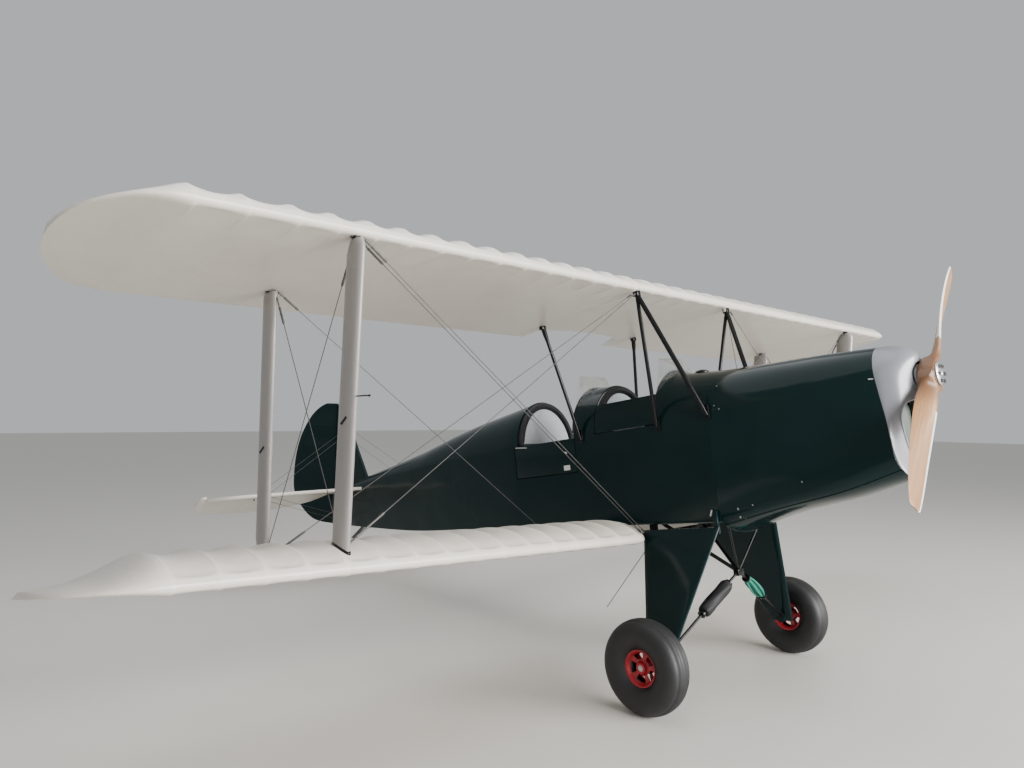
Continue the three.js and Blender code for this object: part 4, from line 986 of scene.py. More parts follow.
def make_nose_bowl():
    silver = finish_of(satin_silver)
    bowl = Piece()
    rings = [bowl_ring(math.sin(angle)) for angle in steps(16, 0, math.pi / 2)]
    last = rings[-1]
    middle = sum(last, Vector()) / len(last)
    for share in (0.92, 0.8, 0.65, 0.5, 0.35, 0.2, 0.1):
        inner = [middle.lerp(point, share) for point in last]
        rings.append([Vector((bowl_front(point.y, point.z), point.y, point.z)) for point in inner])
    bowl.loft(rings, caps=False)
    hub = [edge for edge in bowl.bm.edges if edge.is_boundary and edge.verts[0].co.x > 1.33]
    bmesh.ops.contextual_create(bowl.bm, geom=hub)
    piece = bowl.done("nose_bowl_skin", "airframe", silver, "silver_grey", ("nose_bowl",), wall=sizes().skin)
    cut_holes(piece)
    lips = Piece()
    gap, egg = hole_outlines()
    lips.tube([(bowl_front(y, z) - 0.002, y, z) for y, z in gap], 0.0035, 8, closed=True)
    lips.tube([(bowl_front(y, z) - 0.001, y, z) for y, z in egg], 0.0055, 8, closed=True)
    lips.done("nose_bowl_lips", "airframe", silver, "silver_grey")
    baffle = Piece()
    baffle.plate([(1.296, y, z + 0.004) for y, z in egg], (0.004, 0, 0))
    baffle.done("intake_baffle", "airframe", finish_of(baffle_paint), "engine_metal")


def cut_holes(piece):
    """Cuts the shaft's gap and the intake through the bowl's closed wall."""
    cutter = Piece()
    for outline in hole_outlines():
        cutter.loft([[Vector((x, y, z)) for y, z in outline] for x in (1.33, 1.56)])
    bm = cutter.bm
    bmesh.ops.recalc_face_normals(bm, faces=list(bm.faces))
    cutter.turn(PARKED)
    mesh = bpy.data.meshes.new("hole_cutter")
    bm.to_mesh(mesh)
    bm.free()
    tool = bpy.data.objects.new("hole_cutter", mesh)
    bpy.context.scene.collection.objects.link(tool)
    cut = piece.modifiers.new("holes", "BOOLEAN")
    cut.object = tool
    cut.operation = "DIFFERENCE"
    cut.solver = "EXACT"
    apply_modifiers(piece)
    piece.data.set_sharp_from_angle(angle=math.radians(40))
    bpy.data.objects.remove(tool)


def tub_ring(x):
    """Sides and floor of the tub, from the left longeron round to the right one."""
    low = lerp(0.762, 0.786, (FIREWALL - x) / (FIREWALL - TUB_END))
    chamfer = 0.024
    left = [Vector((x, BODY_HALF, z)) for z in (LONGERON, *SIDE_LEVELS, low + chamfer)]
    corner = [Vector((x, BODY_HALF - chamfer * (1 - math.cos(a)), low + chamfer * (1 - math.sin(a))))
              for a in steps(4, 0, math.pi / 2)[1:]]
    floor = [Vector((x, y, low)) for y in steps(6, BODY_HALF - chamfer, 0)[1:]]
    half = left + corner + floor
    return half + [Vector((p.x, -p.y, p.z)) for p in reversed(half[:-1])]


def arch_ring(x, top, angles):
    return [Vector((x, BODY_HALF * math.cos(a), LONGERON + (top - LONGERON) * math.sin(a))) for a in angles]


def side_angle(height):
    """Angle on the coaming's arch at which it reaches a height."""
    return math.asin((height - LONGERON) / (COAMING_TOP - LONGERON))


def make_fuselage():
    """One skin for the tub, the decks, the left coaming and the rear fuselage."""
    skin = Piece()
    decks = [curve(rows, 6) for rows in (FRONT_DECK, MID_DECK, REAR_ARCH)]
    coaming = [(x, lerp(COAMING_TOP, MID_DECK[0][1], share))
               for x, share in zip(steps(8, FRONT_RIM, FRONT_BACK), steps(8))]
    stations = {round(x, 6) for rows in (*decks, coaming) for x, _ in rows}
    stations |= {REAR_OPENING["front"], -1.0, -1.2, -1.35, REAR_OPENING["back"]}
    skin.loft([tub_ring(x) for x in sorted(stations, reverse=True)], closed=False)
    for rows in decks:
        skin.loft([arch_ring(x, top, steps(36, 0, math.pi)) for x, top in rows], closed=False)
    rim = [math.radians(5 * number) for number in range(7)] + [side_angle(FRONT_DOOR["high"])]
    skin.loft([arch_ring(x, top, rim) for x, top in coaming], closed=False)
    shoulder, corner = TAIL_ROWS[0][3], TAIL_ROWS[0][4]
    falls = [(shoulder - level) / (shoulder - corner) for level in SIDE_LEVELS]
    skin.loft([full_ring(row, falls) for row in curve(TAIL_ROWS, 10)], caps=False)
    bm = skin.bm
    stern = [edge for edge in bm.edges if edge.is_boundary and max(vert.co.x for vert in edge.verts) < -4.6]
    bmesh.ops.contextual_create(bm, geom=stern)
    gone = []
    for face in bm.faces:
        middle = face.calc_center_median()
        if middle.y < -BODY_HALF + 0.001 and REAR_OPENING["low"] < middle.z < LONGERON:
            if REAR_OPENING["back"] < middle.x < REAR_OPENING["front"]:
                gone.append(face)
    bmesh.ops.delete(bm, geom=gone, context="FACES")
    bmesh.ops.remove_doubles(bm, verts=list(bm.verts), dist=4e-5)
    skin.done("fuselage_skin", "airframe", finish_of(gloss_green), "dark_green",
              ("fuselage_tub", "front_deck", "mid_deck", "rear_fuselage"), wall=0.010)


INSIDE_HALF = 0.318
TUB_FLOOR = 0.79
# Seats. Columns: front edge, back
SEATS = {"front": (-0.240, FRONT_BACK), "rear": (-1.060, REAR_BACK)}


def make_cockpit_floors():
    paint = finish_of(gloss_green)
    inside = Piece()
    for x, top in ((FIREWALL - 0.02, LONGERON), (FRONT_BACK - 0.012, 1.44), (REAR_BACK - 0.012, 1.44)):
        inside.box((x - 0.006, -INSIDE_HALF, TUB_FLOOR), (x + 0.006, INSIDE_HALF, top), 0.002)
    for front, back in SEATS.values():
        inside.box((back - 0.002, -INSIDE_HALF, 0.886), (front, INSIDE_HALF, 0.904), 0.004)
    inside.done("cockpit_bulkheads", "airframe", paint, "dark_green")
    wall = Piece()
    wall.plate([Vector((FIREWALL - 0.012, p.y * 0.985, p.z - 0.006)) for p in full_ring(COWL_ROWS[-1])
                if p.z > LONGERON - 0.001], (0.006, 0, 0))
    wall.done("firewall_top", "airframe", paint, "dark_green")


def make_doors():
    paint = finish_of(gloss_green)
    low = side_angle(FRONT_DOOR["low"])
    high = side_angle(FRONT_DOOR["high"])
    door = Piece()
    door.loft([arch_ring(x, COAMING_TOP, steps(10, math.pi - high, math.pi - low))
               for x in steps(10, FRONT_DOOR["front"], FRONT_DOOR["back"])], closed=False)
    door.done("front_door_skin", "front_door", paint, "dark_green", ("front_door",), wall=0.008)
    slab = Piece()
    slab.box((REAR_DOOR["back"], -BODY_HALF, REAR_DOOR["low"]),
             (REAR_DOOR["front"], -BODY_HALF + 0.016, REAR_DOOR["high"]), 0.005, 3)
    slab.done("rear_door_skin", "rear_door", paint, "dark_green", ("rear_door",))


# Cockpits

def d_outline(x, half, low, top):
    """A D lying on its flat side: flat at the bottom and arched at the top."""
    return [Vector((x, half * math.cos(angle), low + (top - low) * math.sin(angle)))
            for angle in steps(28, 0.06, math.pi - 0.06)]


def make_seat_backs():
    for name, x, top in (("front", FRONT_BACK + 0.002, 1.786), ("rear", REAR_BACK + 0.002, 1.782)):
        felt = Piece()
        felt.plate(d_outline(x, 0.286, 1.405, top - 0.046), (0.010, 0, 0), 0.004)
        felt.done("seat_back_felt_" + name, "airframe", finish_of(mottled_felt), "grey_felt")
        rim = Piece()
        rim.tube(d_outline(x + 0.012, 0.302, 1.400, top - 0.026), sizes().rim, 14, closed=True)
        rim.done("seat_back_rim_" + name, "airframe", finish_of(padded_leather), "black_leather")


def make_cushions():
    for name, (front, back) in SEATS.items():
        pad = Piece()
        pad.box((back + 0.016, -0.225, 0.912), (front - 0.012, 0.225, 0.980), 0.028, 3)
        piece = pad.done("seat_pad_" + name, "airframe", finish_of(mottled_felt), "grey_felt",
                         ("seat_cushion_" + name,))
        inflate(piece)


def inflate(piece, voxel=0.008, cap=0.012):
    """Swells a pad as simulated cloth under pressure, and keeps every point near its start."""
    remesh = piece.modifiers.new("voxels", "REMESH")
    remesh.mode = "VOXEL"
    remesh.voxel_size = voxel
    apply_modifiers(piece)
    start = [vert.co.copy() for vert in piece.data.vertices]
    cloth = piece.modifiers.new("cloth", "CLOTH")
    cloth.settings.use_pressure = True
    cloth.settings.uniform_pressure_force = 4.0
    cloth.settings.effector_weights.gravity = 0.0
    scene = bpy.context.scene
    cloth.point_cache.frame_start = 1
    cloth.point_cache.frame_end = sizes().cloth_steps
    for number in range(1, sizes().cloth_steps + 1):
        scene.frame_set(number)
    apply_modifiers(piece)
    scene.frame_set(1)
    for vert, rest in zip(piece.data.vertices, start):
        move = vert.co - rest
        if move.length > cap:
            vert.co = rest + move * (cap / move.length)
    for polygon in piece.data.polygons:
        polygon.use_smooth = True
    smooth = piece.modifiers.new("fine", "SUBSURF")
    smooth.levels = 1
    smooth.render_levels = 1


def make_windscreens():
    for name, rim in (("front", FRONT_RIM), ("rear", REAR_RIM)):
        foot = (rim + 0.058, 0.134, 1.757)
        head = (rim - 0.036, 0.154, 1.904)
        side = (rim + 0.012, 0.288, 1.648)
        sheet = Piece()
        bm = sheet.bm
        corners = ((foot, -1), (foot, 1), (head, 1), (head, -1), (side, 1), (side, -1))
        a, b, c, d, e, f = (bm.verts.new((x, y * sign, z)) for (x, y, z), sign in corners)
        for pane in ((a, b, c, d), (b, e, c), (a, d, f)):
            bm.faces.new(pane)
        bmesh.ops.bevel(bm, geom=[c, d], offset=0.03, segments=4, profile=0.5, affect="VERTICES", material=-1)
        sheet.done("windscreen_sheet_" + name, "airframe", finish_of(clear_sheet), "clear_screen",
                   ("windscreen_" + name,), crease=20, wall=0.003)


def make_controls():
    black = finish_of(gloss_black)
    sticks = Piece()
    grip = [(0, 0.0), (0, 0.011), (0.008, 0.016), (0.04, 0.017), (0.075, 0.015), (0.085, 0.008), (0.087, 0)]
    for x in (-0.200, -1.020):
        stem = curve([(x, 0, 0.850), (x + 0.004, 0, 0.98), (x + 0.012, 0, 1.09), (x + 0.016, 0, 1.115)], 5)
        sticks.tube(stem, 0.010, 12)
        sticks.lathe(grip, (x + 0.016, 0, 1.113), (0.02, 0, 1), 20)
    sticks.rod((-0.176, 0, 0.850), (-1.044, 0, 0.850), 0.012, sides=16)
    sticks.done("control_sticks", "airframe", black, "black_steel", ("control_columns",))


# Propeller

PROP_HUB = Vector((1.488, 0, SHAFT_HEIGHT))
PROP_RADIUS = 0.922
PROP_RAKE = 0.024
PROP_LEAN = math.radians(43)
PROP_PITCH = 1.05
HUB_HALF = 0.044
HUB_RADIUS = 0.078
# Columns: radius, chord, thickness, turn towards the blade's own twist
BLADE = [(0.000, 0.150, 0.088, 0.00), (0.055, 0.142, 0.086, 0.05), (0.100, 0.116, 0.070, 0.55),
         (0.150, 0.116, 0.056, 0.88), (0.280, 0.136, 0.036, 1.0), (0.440, 0.148, 0.026, 1.0),
         (0.620, 0.146, 0.019, 1.0), (0.780, 0.130, 0.014, 1.0), (0.880, 0.104, 0.010, 1.0),
         (0.912, 0.088, 0.008, 1.0), (PROP_RADIUS, 0.060, 0.006, 1.0)]
# Sections of the blade and of the block at its root. Columns: shares of the chord and of the thickness
BLADE_SECTION = [(0.5, 0.0), (0.46, 0.20), (0.36, 0.38), (0.16, 0.50), (-0.06, 0.48), (-0.28, 0.33),
                 (-0.44, 0.12), (-0.5, 0.0), (-0.44, -0.10), (-0.28, -0.20), (-0.06, -0.28),
                 (0.16, -0.30), (0.36, -0.24), (0.46, -0.12)]
BLOCK_SECTION = [(0.5, 0.0), (0.5, 0.30), (0.44, 0.5), (0.16, 0.50), (-0.06, 0.5), (-0.28, 0.5),
                 (-0.5, 0.42), (-0.5, 0.0), (-0.5, -0.42), (-0.28, -0.5), (-0.06, -0.5),
                 (0.16, -0.5), (0.44, -0.5), (0.5, -0.30)]


def blade_ring(radius, width, thick, twisted, sign):
    outward = Vector((0, math.sin(PROP_LEAN), math.cos(PROP_LEAN))) * sign
    travel = FORWARD.cross(outward)
    twist = math.atan2(PROP_PITCH, 2 * math.pi * max(radius, 0.19)) * twisted
    chordwise = travel * math.cos(twist) + FORWARD * math.sin(twist)
    face = outward.cross(chordwise).normalized()
    centre = PROP_HUB + outward * radius + FORWARD * (PROP_RAKE * (radius / PROP_RADIUS) ** 3)
    blade = ramp(radius, 0.05, 0.16)
    ring = []
    for (c0, t0), (c1, t1) in zip(BLOCK_SECTION, BLADE_SECTION):
        ring.append(centre + chordwise * (lerp(c0, c1, blade) * width) + face * (lerp(t0, t1, blade) * thick))
    return ring


def make_propeller():
    wood = Piece()
    rows = curve(BLADE, 5)
    for sign in (1, -1):
        rings = [blade_ring(*row, sign) for row in rows]
        # Marks each blade's root for the darker colour, partly the wood's own tone and partly painted shade
        marks = [1 - ramp(row[0], 0.10, 0.26) for row in rows]
        wood.loft([[Vector(p) for p in curve(ring + ring[:1], 2)[:-1]] for ring in rings], marks=marks)
    hub = wood.lathe([(-HUB_HALF, 0.020), (-HUB_HALF, HUB_RADIUS - 0.006), (-HUB_HALF + 0.006, HUB_RADIUS),
                      (HUB_HALF - 0.006, HUB_RADIUS), (HUB_HALF, HUB_RADIUS - 0.006), (HUB_HALF, 0.020)],
                     PROP_HUB, FORWARD, 48, closed=True)
    # The hub block takes the darker root colour in full: its own darker tone and painted shade
    for vert in hub:
        if vert.is_valid:
            vert[wood.tape] = 1.0
    wood.done("propeller_wood", "propeller", finish_of(laminated_wood), "propeller_wood",
              ("propeller",), crease=50)
    strip = Piece()
    for sign in (1, -1):
        rings = []
        for row in [r for r in rows if r[0] > 0.24]:
            ring = blade_ring(*row, sign)
            middle = sum(ring, Vector()) / len(ring)
            line = [ring[12], ring[13], ring[0], ring[1], ring[2]]
            rings.append([p + (p - middle).normalized() * 0.0012 for p in curve(line, 3)])
        strip.loft(rings, closed=False)
    strip.done("propeller_edge", "propeller", finish_of(edge_strip), "propeller_wood", wall=0.001)
    steel = finish_of(bright_steel)
    plate = Piece()
    plate.lathe([(0.0003, 0), (0.0003, 0.066), (0.003, 0.070), (0.009, 0.070), (0.012, 0.066),
                 (0.012, 0.018), (0.009, 0.015), (0.009, 0)], PROP_HUB + FORWARD * HUB_HALF, FORWARD, 48)
    plate.done("propeller_plate", "propeller", steel, "bare_steel", ("propeller_hub_plate",))
    spacer = Piece()
    spacer.lathe([(-0.064, 0), (-0.064, 0.070), (-0.060, 0.074), (-0.048, 0.074), (-0.0443, 0.070),
                  (-0.0443, 0)], PROP_HUB, FORWARD, 48)
    spacer.done("propeller_spacer", "propeller", finish_of(satin_silver), "bare_steel")
    bolts = Piece()
    for angle in steps(6, 0, 2 * math.pi)[:-1]:
        spot = PROP_HUB + FORWARD * (HUB_HALF + 0.012) + Vector((0, math.cos(angle), math.sin(angle))) * 0.046
        bolts.soften(bolts.rod(spot - FORWARD * 0.001, spot + FORWARD * 0.007, 0.0110, sides=6), 0.001)
        bolts.rod(spot, spot + FORWARD * 0.010, 0.0052, sides=10)
    bolts.done("propeller_bolts", "propeller", finish_of(dull_steel), "bare_steel")


# Struts, cabane and rigging

STRUT_STATION = 2.657
# Columns: name, head, foot
STRUTS = [("front", (0.010, STRUT_STATION, 2.278), (-0.285, STRUT_STATION, 0.888)),
          ("rear", (-0.865, STRUT_STATION, 2.252), (-1.105, STRUT_STATION, 0.834))]
STRUT_SECTION = [(0.5, 0.0), (0.47, 0.20), (0.38, 0.38), (0.22, 0.48), (0.05, 0.5), (-0.15, 0.43),
                 (-0.34, 0.24), (-0.47, 0.06)]
STRUT_WIDTH = 0.150
STRUT_THICK = 0.044
# Corners of a strut's tab. Columns: share of its half width, distance across
TAB_CORNERS = ((-1, -0.002), (1, -0.002), (1, 0.002), (-1, 0.002))
# Boot round the front strut's foot. Columns: spread beyond the strut, height over the wing
BOOT_ROWS = ((1.00, -0.012), (1.10, -0.010), (1.12, 0.006), (1.08, 0.012), (1.00, 0.014))


def strut_ring(centre, width, thick):
    upper = STRUT_SECTION
    lower = [(c, -t) for c, t in reversed(STRUT_SECTION[1:])]
    outline = curve(upper + [(-0.5, 0.0)] + lower + [upper[0]], 2)[:-1]
    return [centre + Vector((c * width, t * thick, 0)) for c, t in outline]


def make_struts(name, side):
    for which, head, foot in STRUTS:
        head, foot = Vector(head), Vector(foot)
        along = (foot - head).normalized()
        reach = (foot - head).length
        # Columns: distance from the head, width share, thickness share
        if which == "front":
            rows = [(0.012, 0.70, 0.9), (0.032, 0.86, 1.0), (0.060, 1.0, 1.0), (reach * 0.5, 1.0, 1.0),
                    (reach + 0.055, 1.0, 1.0)]
        else:
            rows = [(0.012, 0.90, 0.95), (0.030, 1.0, 1.0), (reach * 0.5, 1.0, 1.0),
                    (reach - 0.110, 1.0, 1.0), (reach - 0.080, 0.85, 1.0), (reach - 0.050, 0.55, 0.8)]
        post = Piece()
        post.loft([strut_ring(head + along * d, STRUT_WIDTH * w, STRUT_THICK * t) for d, w, t in rows])
        post.done(f"strut_{which}_post_{name}", "airframe", finish_of(strut_paint), "strut_grey",
                  (f"strut_{which}_{name}",), side=side)
        ends = Piece()
        spans = [(head + along * 0.050, head - along * 0.022)]
        if which == "rear":
            spans.append((foot - along * 0.056, foot + along * 0.008))
        for start, stop in spans:
            for y in (-0.012, 0.012):
                tab = [[centre + Vector((0, y, 0)) + Vector((cx * half, cy, 0)) for cx, cy in TAB_CORNERS]
                       for centre, half in ((start, 0.020), (stop, 0.014))]
                ends.soften(ends.loft(tab), 0.001)
            bolt = start.lerp(stop, 0.7)
            ends.rod(bolt - PORT * 0.026, bolt + PORT * 0.026, 0.006, sides=10)
        if which == "front":
            ends.loft([boot_ring(head, foot, spread, lift) for spread, lift in BOOT_ROWS], caps=False)
        spot = head + along * (reach * 0.595) + PORT * (STRUT_THICK / 2)
        for y in (0.0, -STRUT_THICK):
            ends.rod(spot + Vector((-0.012, y, -0.012)), spot + Vector((0.034, y, 0.012)), 0.006, sides=8)
        ends.done(f"strut_{which}_fittings_{name}", "airframe", finish_of(gloss_black), "black_steel",
                  side=side)


def boot_ring(head, foot, spread, lift):
    """A ring round a strut's foot that follows the upper skin of the lower wing."""
    lean = (foot.x - head.x) / (foot.z - head.z)
    ring = []
    for point in strut_ring(foot, STRUT_WIDTH * spread, STRUT_THICK * spread * 1.04):
        x, z = point.x, foot.z
        for _ in range(4):
            z = top_at(LOWER_WING, x, point.y) + lift
            x = point.x + (z - foot.z) * lean
        ring.append(Vector((x, point.y, z)))
    return ring


CABANE_TOP = {"front": Vector((0.010, CENTRE_HALF, 2.288)),
              "rear": Vector((-0.865, CENTRE_HALF - 0.008, 2.278))}
# Opposite corners of the fitting at each top, from the top itself
CABANE_BOX = {"front": ((-0.022, -0.022, -0.040), (0.018, 0.016, 0.016)),
              "rear": ((-0.018, -0.022, -0.055), (0.018, 0.018, 0.006))}
# Columns: top, foot, radius
CABANE = [("front", (0.283, 0.350, 1.440), 0.016), ("front", (-0.102, 0.350, 1.412), 0.013),
          ("rear", (-0.781, 0.350, 1.414), 0.013)]


def make_cabane(name, side):
    for which in ("front", "rear"):
        tubes = Piece()
        for top, foot, radius in CABANE:
            if top != which:
                continue
            foot = Vector(foot)
            head = CABANE_TOP[which] - Vector((0, 0, 0.02))
            along = (head - foot).normalized()
            thick = 1.35 if which == "rear" else 0.95
            path = [foot - along * 0.012, foot + along * 0.02, foot + along * 0.05,
                    head - along * 0.13, head - along * 0.07, head]
            tubes.tube(path, [radius * share for share in (0.7, 0.8, 1.0, 1.0, thick, thick)], 16)
            tab = tubes.box(foot + Vector((-0.017, -0.0175, -0.034)), foot + Vector((0.017, -0.004, 0.060)))
            tubes.soften(tab, 0.003)
            tubes.rod(foot + Vector((0, -0.018, -0.012)), foot + Vector((0, 0.012, -0.012)), 0.006, sides=10)
        top = CABANE_TOP[which]
        low, high = CABANE_BOX[which]
        tubes.soften(tubes.box(top + Vector(low), top + Vector(high)), 0.005)
        tubes.done(f"cabane_{which}_tubes_{name}", "airframe", finish_of(gloss_black), "black_steel",
                   (f"cabane_{which}_{name}",), side=side)
        strap = Piece()
        band = strap.box(top + Vector((-0.012, -0.026, -0.030)), top + Vector((0.008, -0.020, 0.012)))
        strap.soften(band, 0.002)
        strap.done(f"cabane_{which}_strap_{name}", "airframe", finish_of(edge_strip), "strut_grey", side=side)


# Ends of the stays on the left side: at the wing's root, a strut's head and foot, and the cabane
ROOT_EYE = {"front": Vector((-0.276, 0.408, 0.734)), "rear": Vector((-1.094, 0.408, 0.700))}
HEAD_EYE = {"front": Vector((0.014, 2.617, 2.264)), "rear": Vector((-0.835, 2.621, 2.244))}
FOOT_EYE = {"front": Vector((-0.262, 2.619, 0.8965)), "rear": Vector((-1.075, 2.619, 0.8405))}
CABANE_EYE = {"front": Vector((0.022, 0.588, 2.256)), "rear": Vector((-0.010, 0.588, 2.256))}


def stay(piece, start, end, buckle=0.05, barrel=0.085):
    """A wire with an eye at each end and a turnbuckle near its start."""
    wire = sizes().wire
    along = (end - start).normalized()
    piece.rod(start, end, wire, sides=8)
    piece.rod(start + along * buckle, start + along * (buckle + barrel), wire * 2.8, sides=10)
    for share in (0.0, barrel / 2, barrel):
        spot = start + along * (buckle + share)
        piece.rod(spot - along * 0.010, spot + along * 0.010, wire * 3.4, wire * 2.2, sides=10)
    piece.rod(start, start + along * (buckle - 0.01), wire * 1.6, sides=8)
    for eye, towards in ((start, along), (end, -along)):
        piece.rod(eye - towards * 0.004, eye + towards * 0.030, wire * 2.6, sides=8)


def make_stays(name, side):
    steel = finish_of(dull_steel)
    spread = Vector((0.016, 0, 0))
    pair = Piece()
    for offset in (-spread, spread):
        stay(pair, HEAD_EYE["front"] + offset, ROOT_EYE["front"] + offset)
    pair.done("flying_wires_front_" + name, "airframe", steel, "bare_steel",
              ("flying_stays_front_" + name,), side=side)
    rows = [("flying_wire_rear", "flying_stay_rear", HEAD_EYE["rear"], ROOT_EYE["rear"]),
            ("landing_wire_front", "landing_stay_front", FOOT_EYE["front"], CABANE_EYE["front"]),
            ("landing_wire_rear", "landing_stay_rear", FOOT_EYE["rear"], CABANE_EYE["rear"])]
    for made, node, start, end in rows:
        wire = Piece()
        stay(wire, start, end, barrel=0.16 if made.startswith("landing") else 0.085)
        wire.done(made + "_" + name, "airframe", steel, "bare_steel", (node + "_" + name,), side=side)
    cross = Piece()
    for which, other, x, foot_x in (("front", "rear", -0.038, 0.0), ("rear", "front", 0.02, -0.03)):
        stay(cross, HEAD_EYE[which] + Vector((x, 0.03, 0)), FOOT_EYE[other] + Vector((foot_x, 0.03, 0)), 0.12)
    cross.done("incidence_wires_" + name, "airframe", steel, "bare_steel", side=side)


# Gear and wheels

GEAR_NODE = Vector((0.152, 0, 0.425))
LEG_TOP = {"front": 0.276, "back": -0.304, "y": 0.352, "z": 0.738}
LEG_FOOT = {"front": 0.078, "back": -0.082, "y": 0.764, "z": -0.022}
HALF_TRACK = 0.881


def leg_ring(share):
    """Section of a gear leg's plate, with a round front and a tapered back."""
    front = lerp(LEG_TOP["front"], LEG_FOOT["front"], share)
    back = lerp(LEG_TOP["back"], LEG_FOOT["back"], share)
    y = lerp(LEG_TOP["y"], LEG_FOOT["y"], share)
    z = lerp(LEG_TOP["z"], LEG_FOOT["z"], share)
    half = 0.014
    points = []
    for x, h in ((0.0, 0.0), (0.003, 0.45), (0.010, 0.8), (0.022, 1.0), (0.060, 1.0)):
        points.append((front - x, h * half))
    for x, h in ((0.060, 1.0), (0.025, 0.75), (0.006, 0.32), (0.0, 0.0)):
        points.append((back + x, h * half))
    lower = [(x, -h) for x, h in reversed(points[1:-1])]
    return [Vector((x, y + h, z)) for x, h in points + lower]


def make_gear_leg(name, side):
    paint = finish_of(gloss_green)
    leg = Piece()
    leg.loft([leg_ring(share) for share in steps(10, 0.0, 1.0)])
    leg.lathe([(-0.034, 0.0), (-0.034, 0.030), (-0.030, 0.034), (0.012, 0.034), (0.016, 0.030), (0.016, 0.0)],
              (0, LEG_FOOT["y"], 0), PORT, 32)
    x = LEG_TOP["front"] - 0.024
    leg.box((x - 0.016, BODY_HALF + 0.0005, LEG_TOP["z"] - 0.04),
            (x + 0.016, LEG_TOP["y"] + 0.004, 0.84), 0.004)
    leg.done("gear_leg_plate_" + name, "airframe", paint, "dark_green", ("gear_leg_" + name,), side=side)
    axle = Piece()
    inner = LEG_FOOT["y"] - 0.02
    axle.lathe([(inner, 0), (inner, 0.016), (0.926, 0.016), (0.933, 0.012), (0.933, 0)], (0, 0, 0), PORT, 24)
    axle.soften(axle.rod((0, 0.918, 0), (0, 0.930, 0), 0.022, sides=6), 0.001)
    axle.done("axle_end_" + name, "airframe", finish_of(bright_steel), "bare_steel", side=side)


def make_pyramid():
    tubes = Piece()
    for x, radius in ((0.262, 0.007), (-0.262, 0.013)):
        for y in (0.236, -0.236):
            tubes.rod(GEAR_NODE, (x, y, 0.790), radius, sides=16)
    tubes.box(GEAR_NODE + Vector((-0.020, -0.034, -0.026)), GEAR_NODE + Vector((0.020, 0.034, 0.018)), 0.004)
    bolt = GEAR_NODE - UP * 0.004
    tubes.rod(bolt - PORT * 0.045, bolt + PORT * 0.045, 0.006, sides=10)
    tubes.done("gear_pyramid_tubes", "airframe", finish_of(gloss_black), "black_steel", ("gear_pyramid",))


def shock_point(side, share, out=0.0, angle=0.0):
    """A point about the shock strut's own line."""
    start = GEAR_NODE + Vector((-0.004, 0.026, -0.012))
    end = Vector((0.024, LEG_FOOT["y"] - 0.030, 0.014))
    along = (end - start).normalized()
    spoke = along.orthogonal().normalized()
    other = along.cross(spoke)
    point = start.lerp(end, share) + (spoke * math.cos(angle) + other * math.sin(angle)) * out
    return Vector((point.x, point.y * side, point.z))


# Cover of the right shock strut. Columns: share of the strut, radius
COVER_ROWS = [(0.130, 0.009), (0.132, 0.032), (0.142, 0.039), (0.190, 0.042), (0.260, 0.041),
              (0.340, 0.042), (0.420, 0.042), (0.465, 0.039), (0.478, 0.032), (0.480, 0.009)]
# One loop of the left strut's cord. Columns: share of the strut, share of the radius, angle in radians
CORD_ROWS = [(0.14, 0.6, -0.3), (0.16, 1.0, -0.35), (0.23, 1.3, -0.2), (0.31, 1.4, 0.0), (0.40, 1.25, 0.15),
             (0.45, 0.9, 0.3), (0.47, 0.6, 0.5), (0.45, 0.5, 0.8), (0.40, 0.8, 0.7), (0.30, 0.95, 0.5),
             (0.21, 0.9, 0.3), (0.15, 0.6, 0.1)]
CORD_LOOPS = 7


def make_shock_struts():
    for name, side in SIDES:
        rod = Piece()
        rod.rod(shock_point(side, 0.0), shock_point(side, 1.0), 0.009, sides=14)
        rod.rod(shock_point(side, 0.985), shock_point(side, 0.93), 0.014, sides=14)
        for share in (0.112, 0.486):
            rod.rod(shock_point(side, share), shock_point(side, share + 0.02), 0.026, sides=20)
        rod.done("shock_rod_" + name, "airframe", finish_of(gloss_black), "black_steel")
    cover = Piece()
    rings = []
    for share, radius in curve(COVER_ROWS, 3):
        ring = []
        for angle in steps(40, 0, 2 * math.pi)[:-1]:
            fold = 1 + 0.03 * math.sin(angle * 5 + share * 24)
            ring.append(shock_point(-1, share, radius * fold, angle))
        rings.append(ring)
    cover.loft(rings)
    cover.done("shock_cover_right", "airframe", finish_of(padded_leather), "black_leather",
               ("shock_strut_right",))
    cord = Piece()
    for loop in range(CORD_LOOPS):
        base = 2 * math.pi * loop / CORD_LOOPS
        out = 0.022 + 0.005 * (loop % 2)
        path = [shock_point(1, share, out * bulge, base + lean) for share, bulge, lean in CORD_ROWS]
        cord.tube(curve(path + path[:1], 4)[:-1], 0.0062, 8, closed=True)
    cord.done("shock_cord_left", "airframe", finish_of(shock_cord), "black_leather", ("shock_strut_left",))


# Half of the tyre's section. Columns: radius, half width
TYRE_ROWS = [(0.104, 0.050), (0.112, 0.060), (0.128, 0.075), (0.150, 0.0875), (0.178, 0.0945),
             (0.204, 0.0945), (0.226, 0.088), (0.244, 0.076), (0.257, 0.060), (0.266, 0.042),
             (0.271, 0.022), (0.273, 0.0)]
# Disc of the wheel, dished and set in from the face. Columns: distance from the middle plane, radius
DISC_ROWS = [(0.042, 0.030), (0.030, 0.036), (0.024, 0.046), (0.022, 0.062), (0.024, 0.080),
             (0.032, 0.090), (0.046, 0.0965), (0.050, 0.102)]
DISC_SPOKES = 5


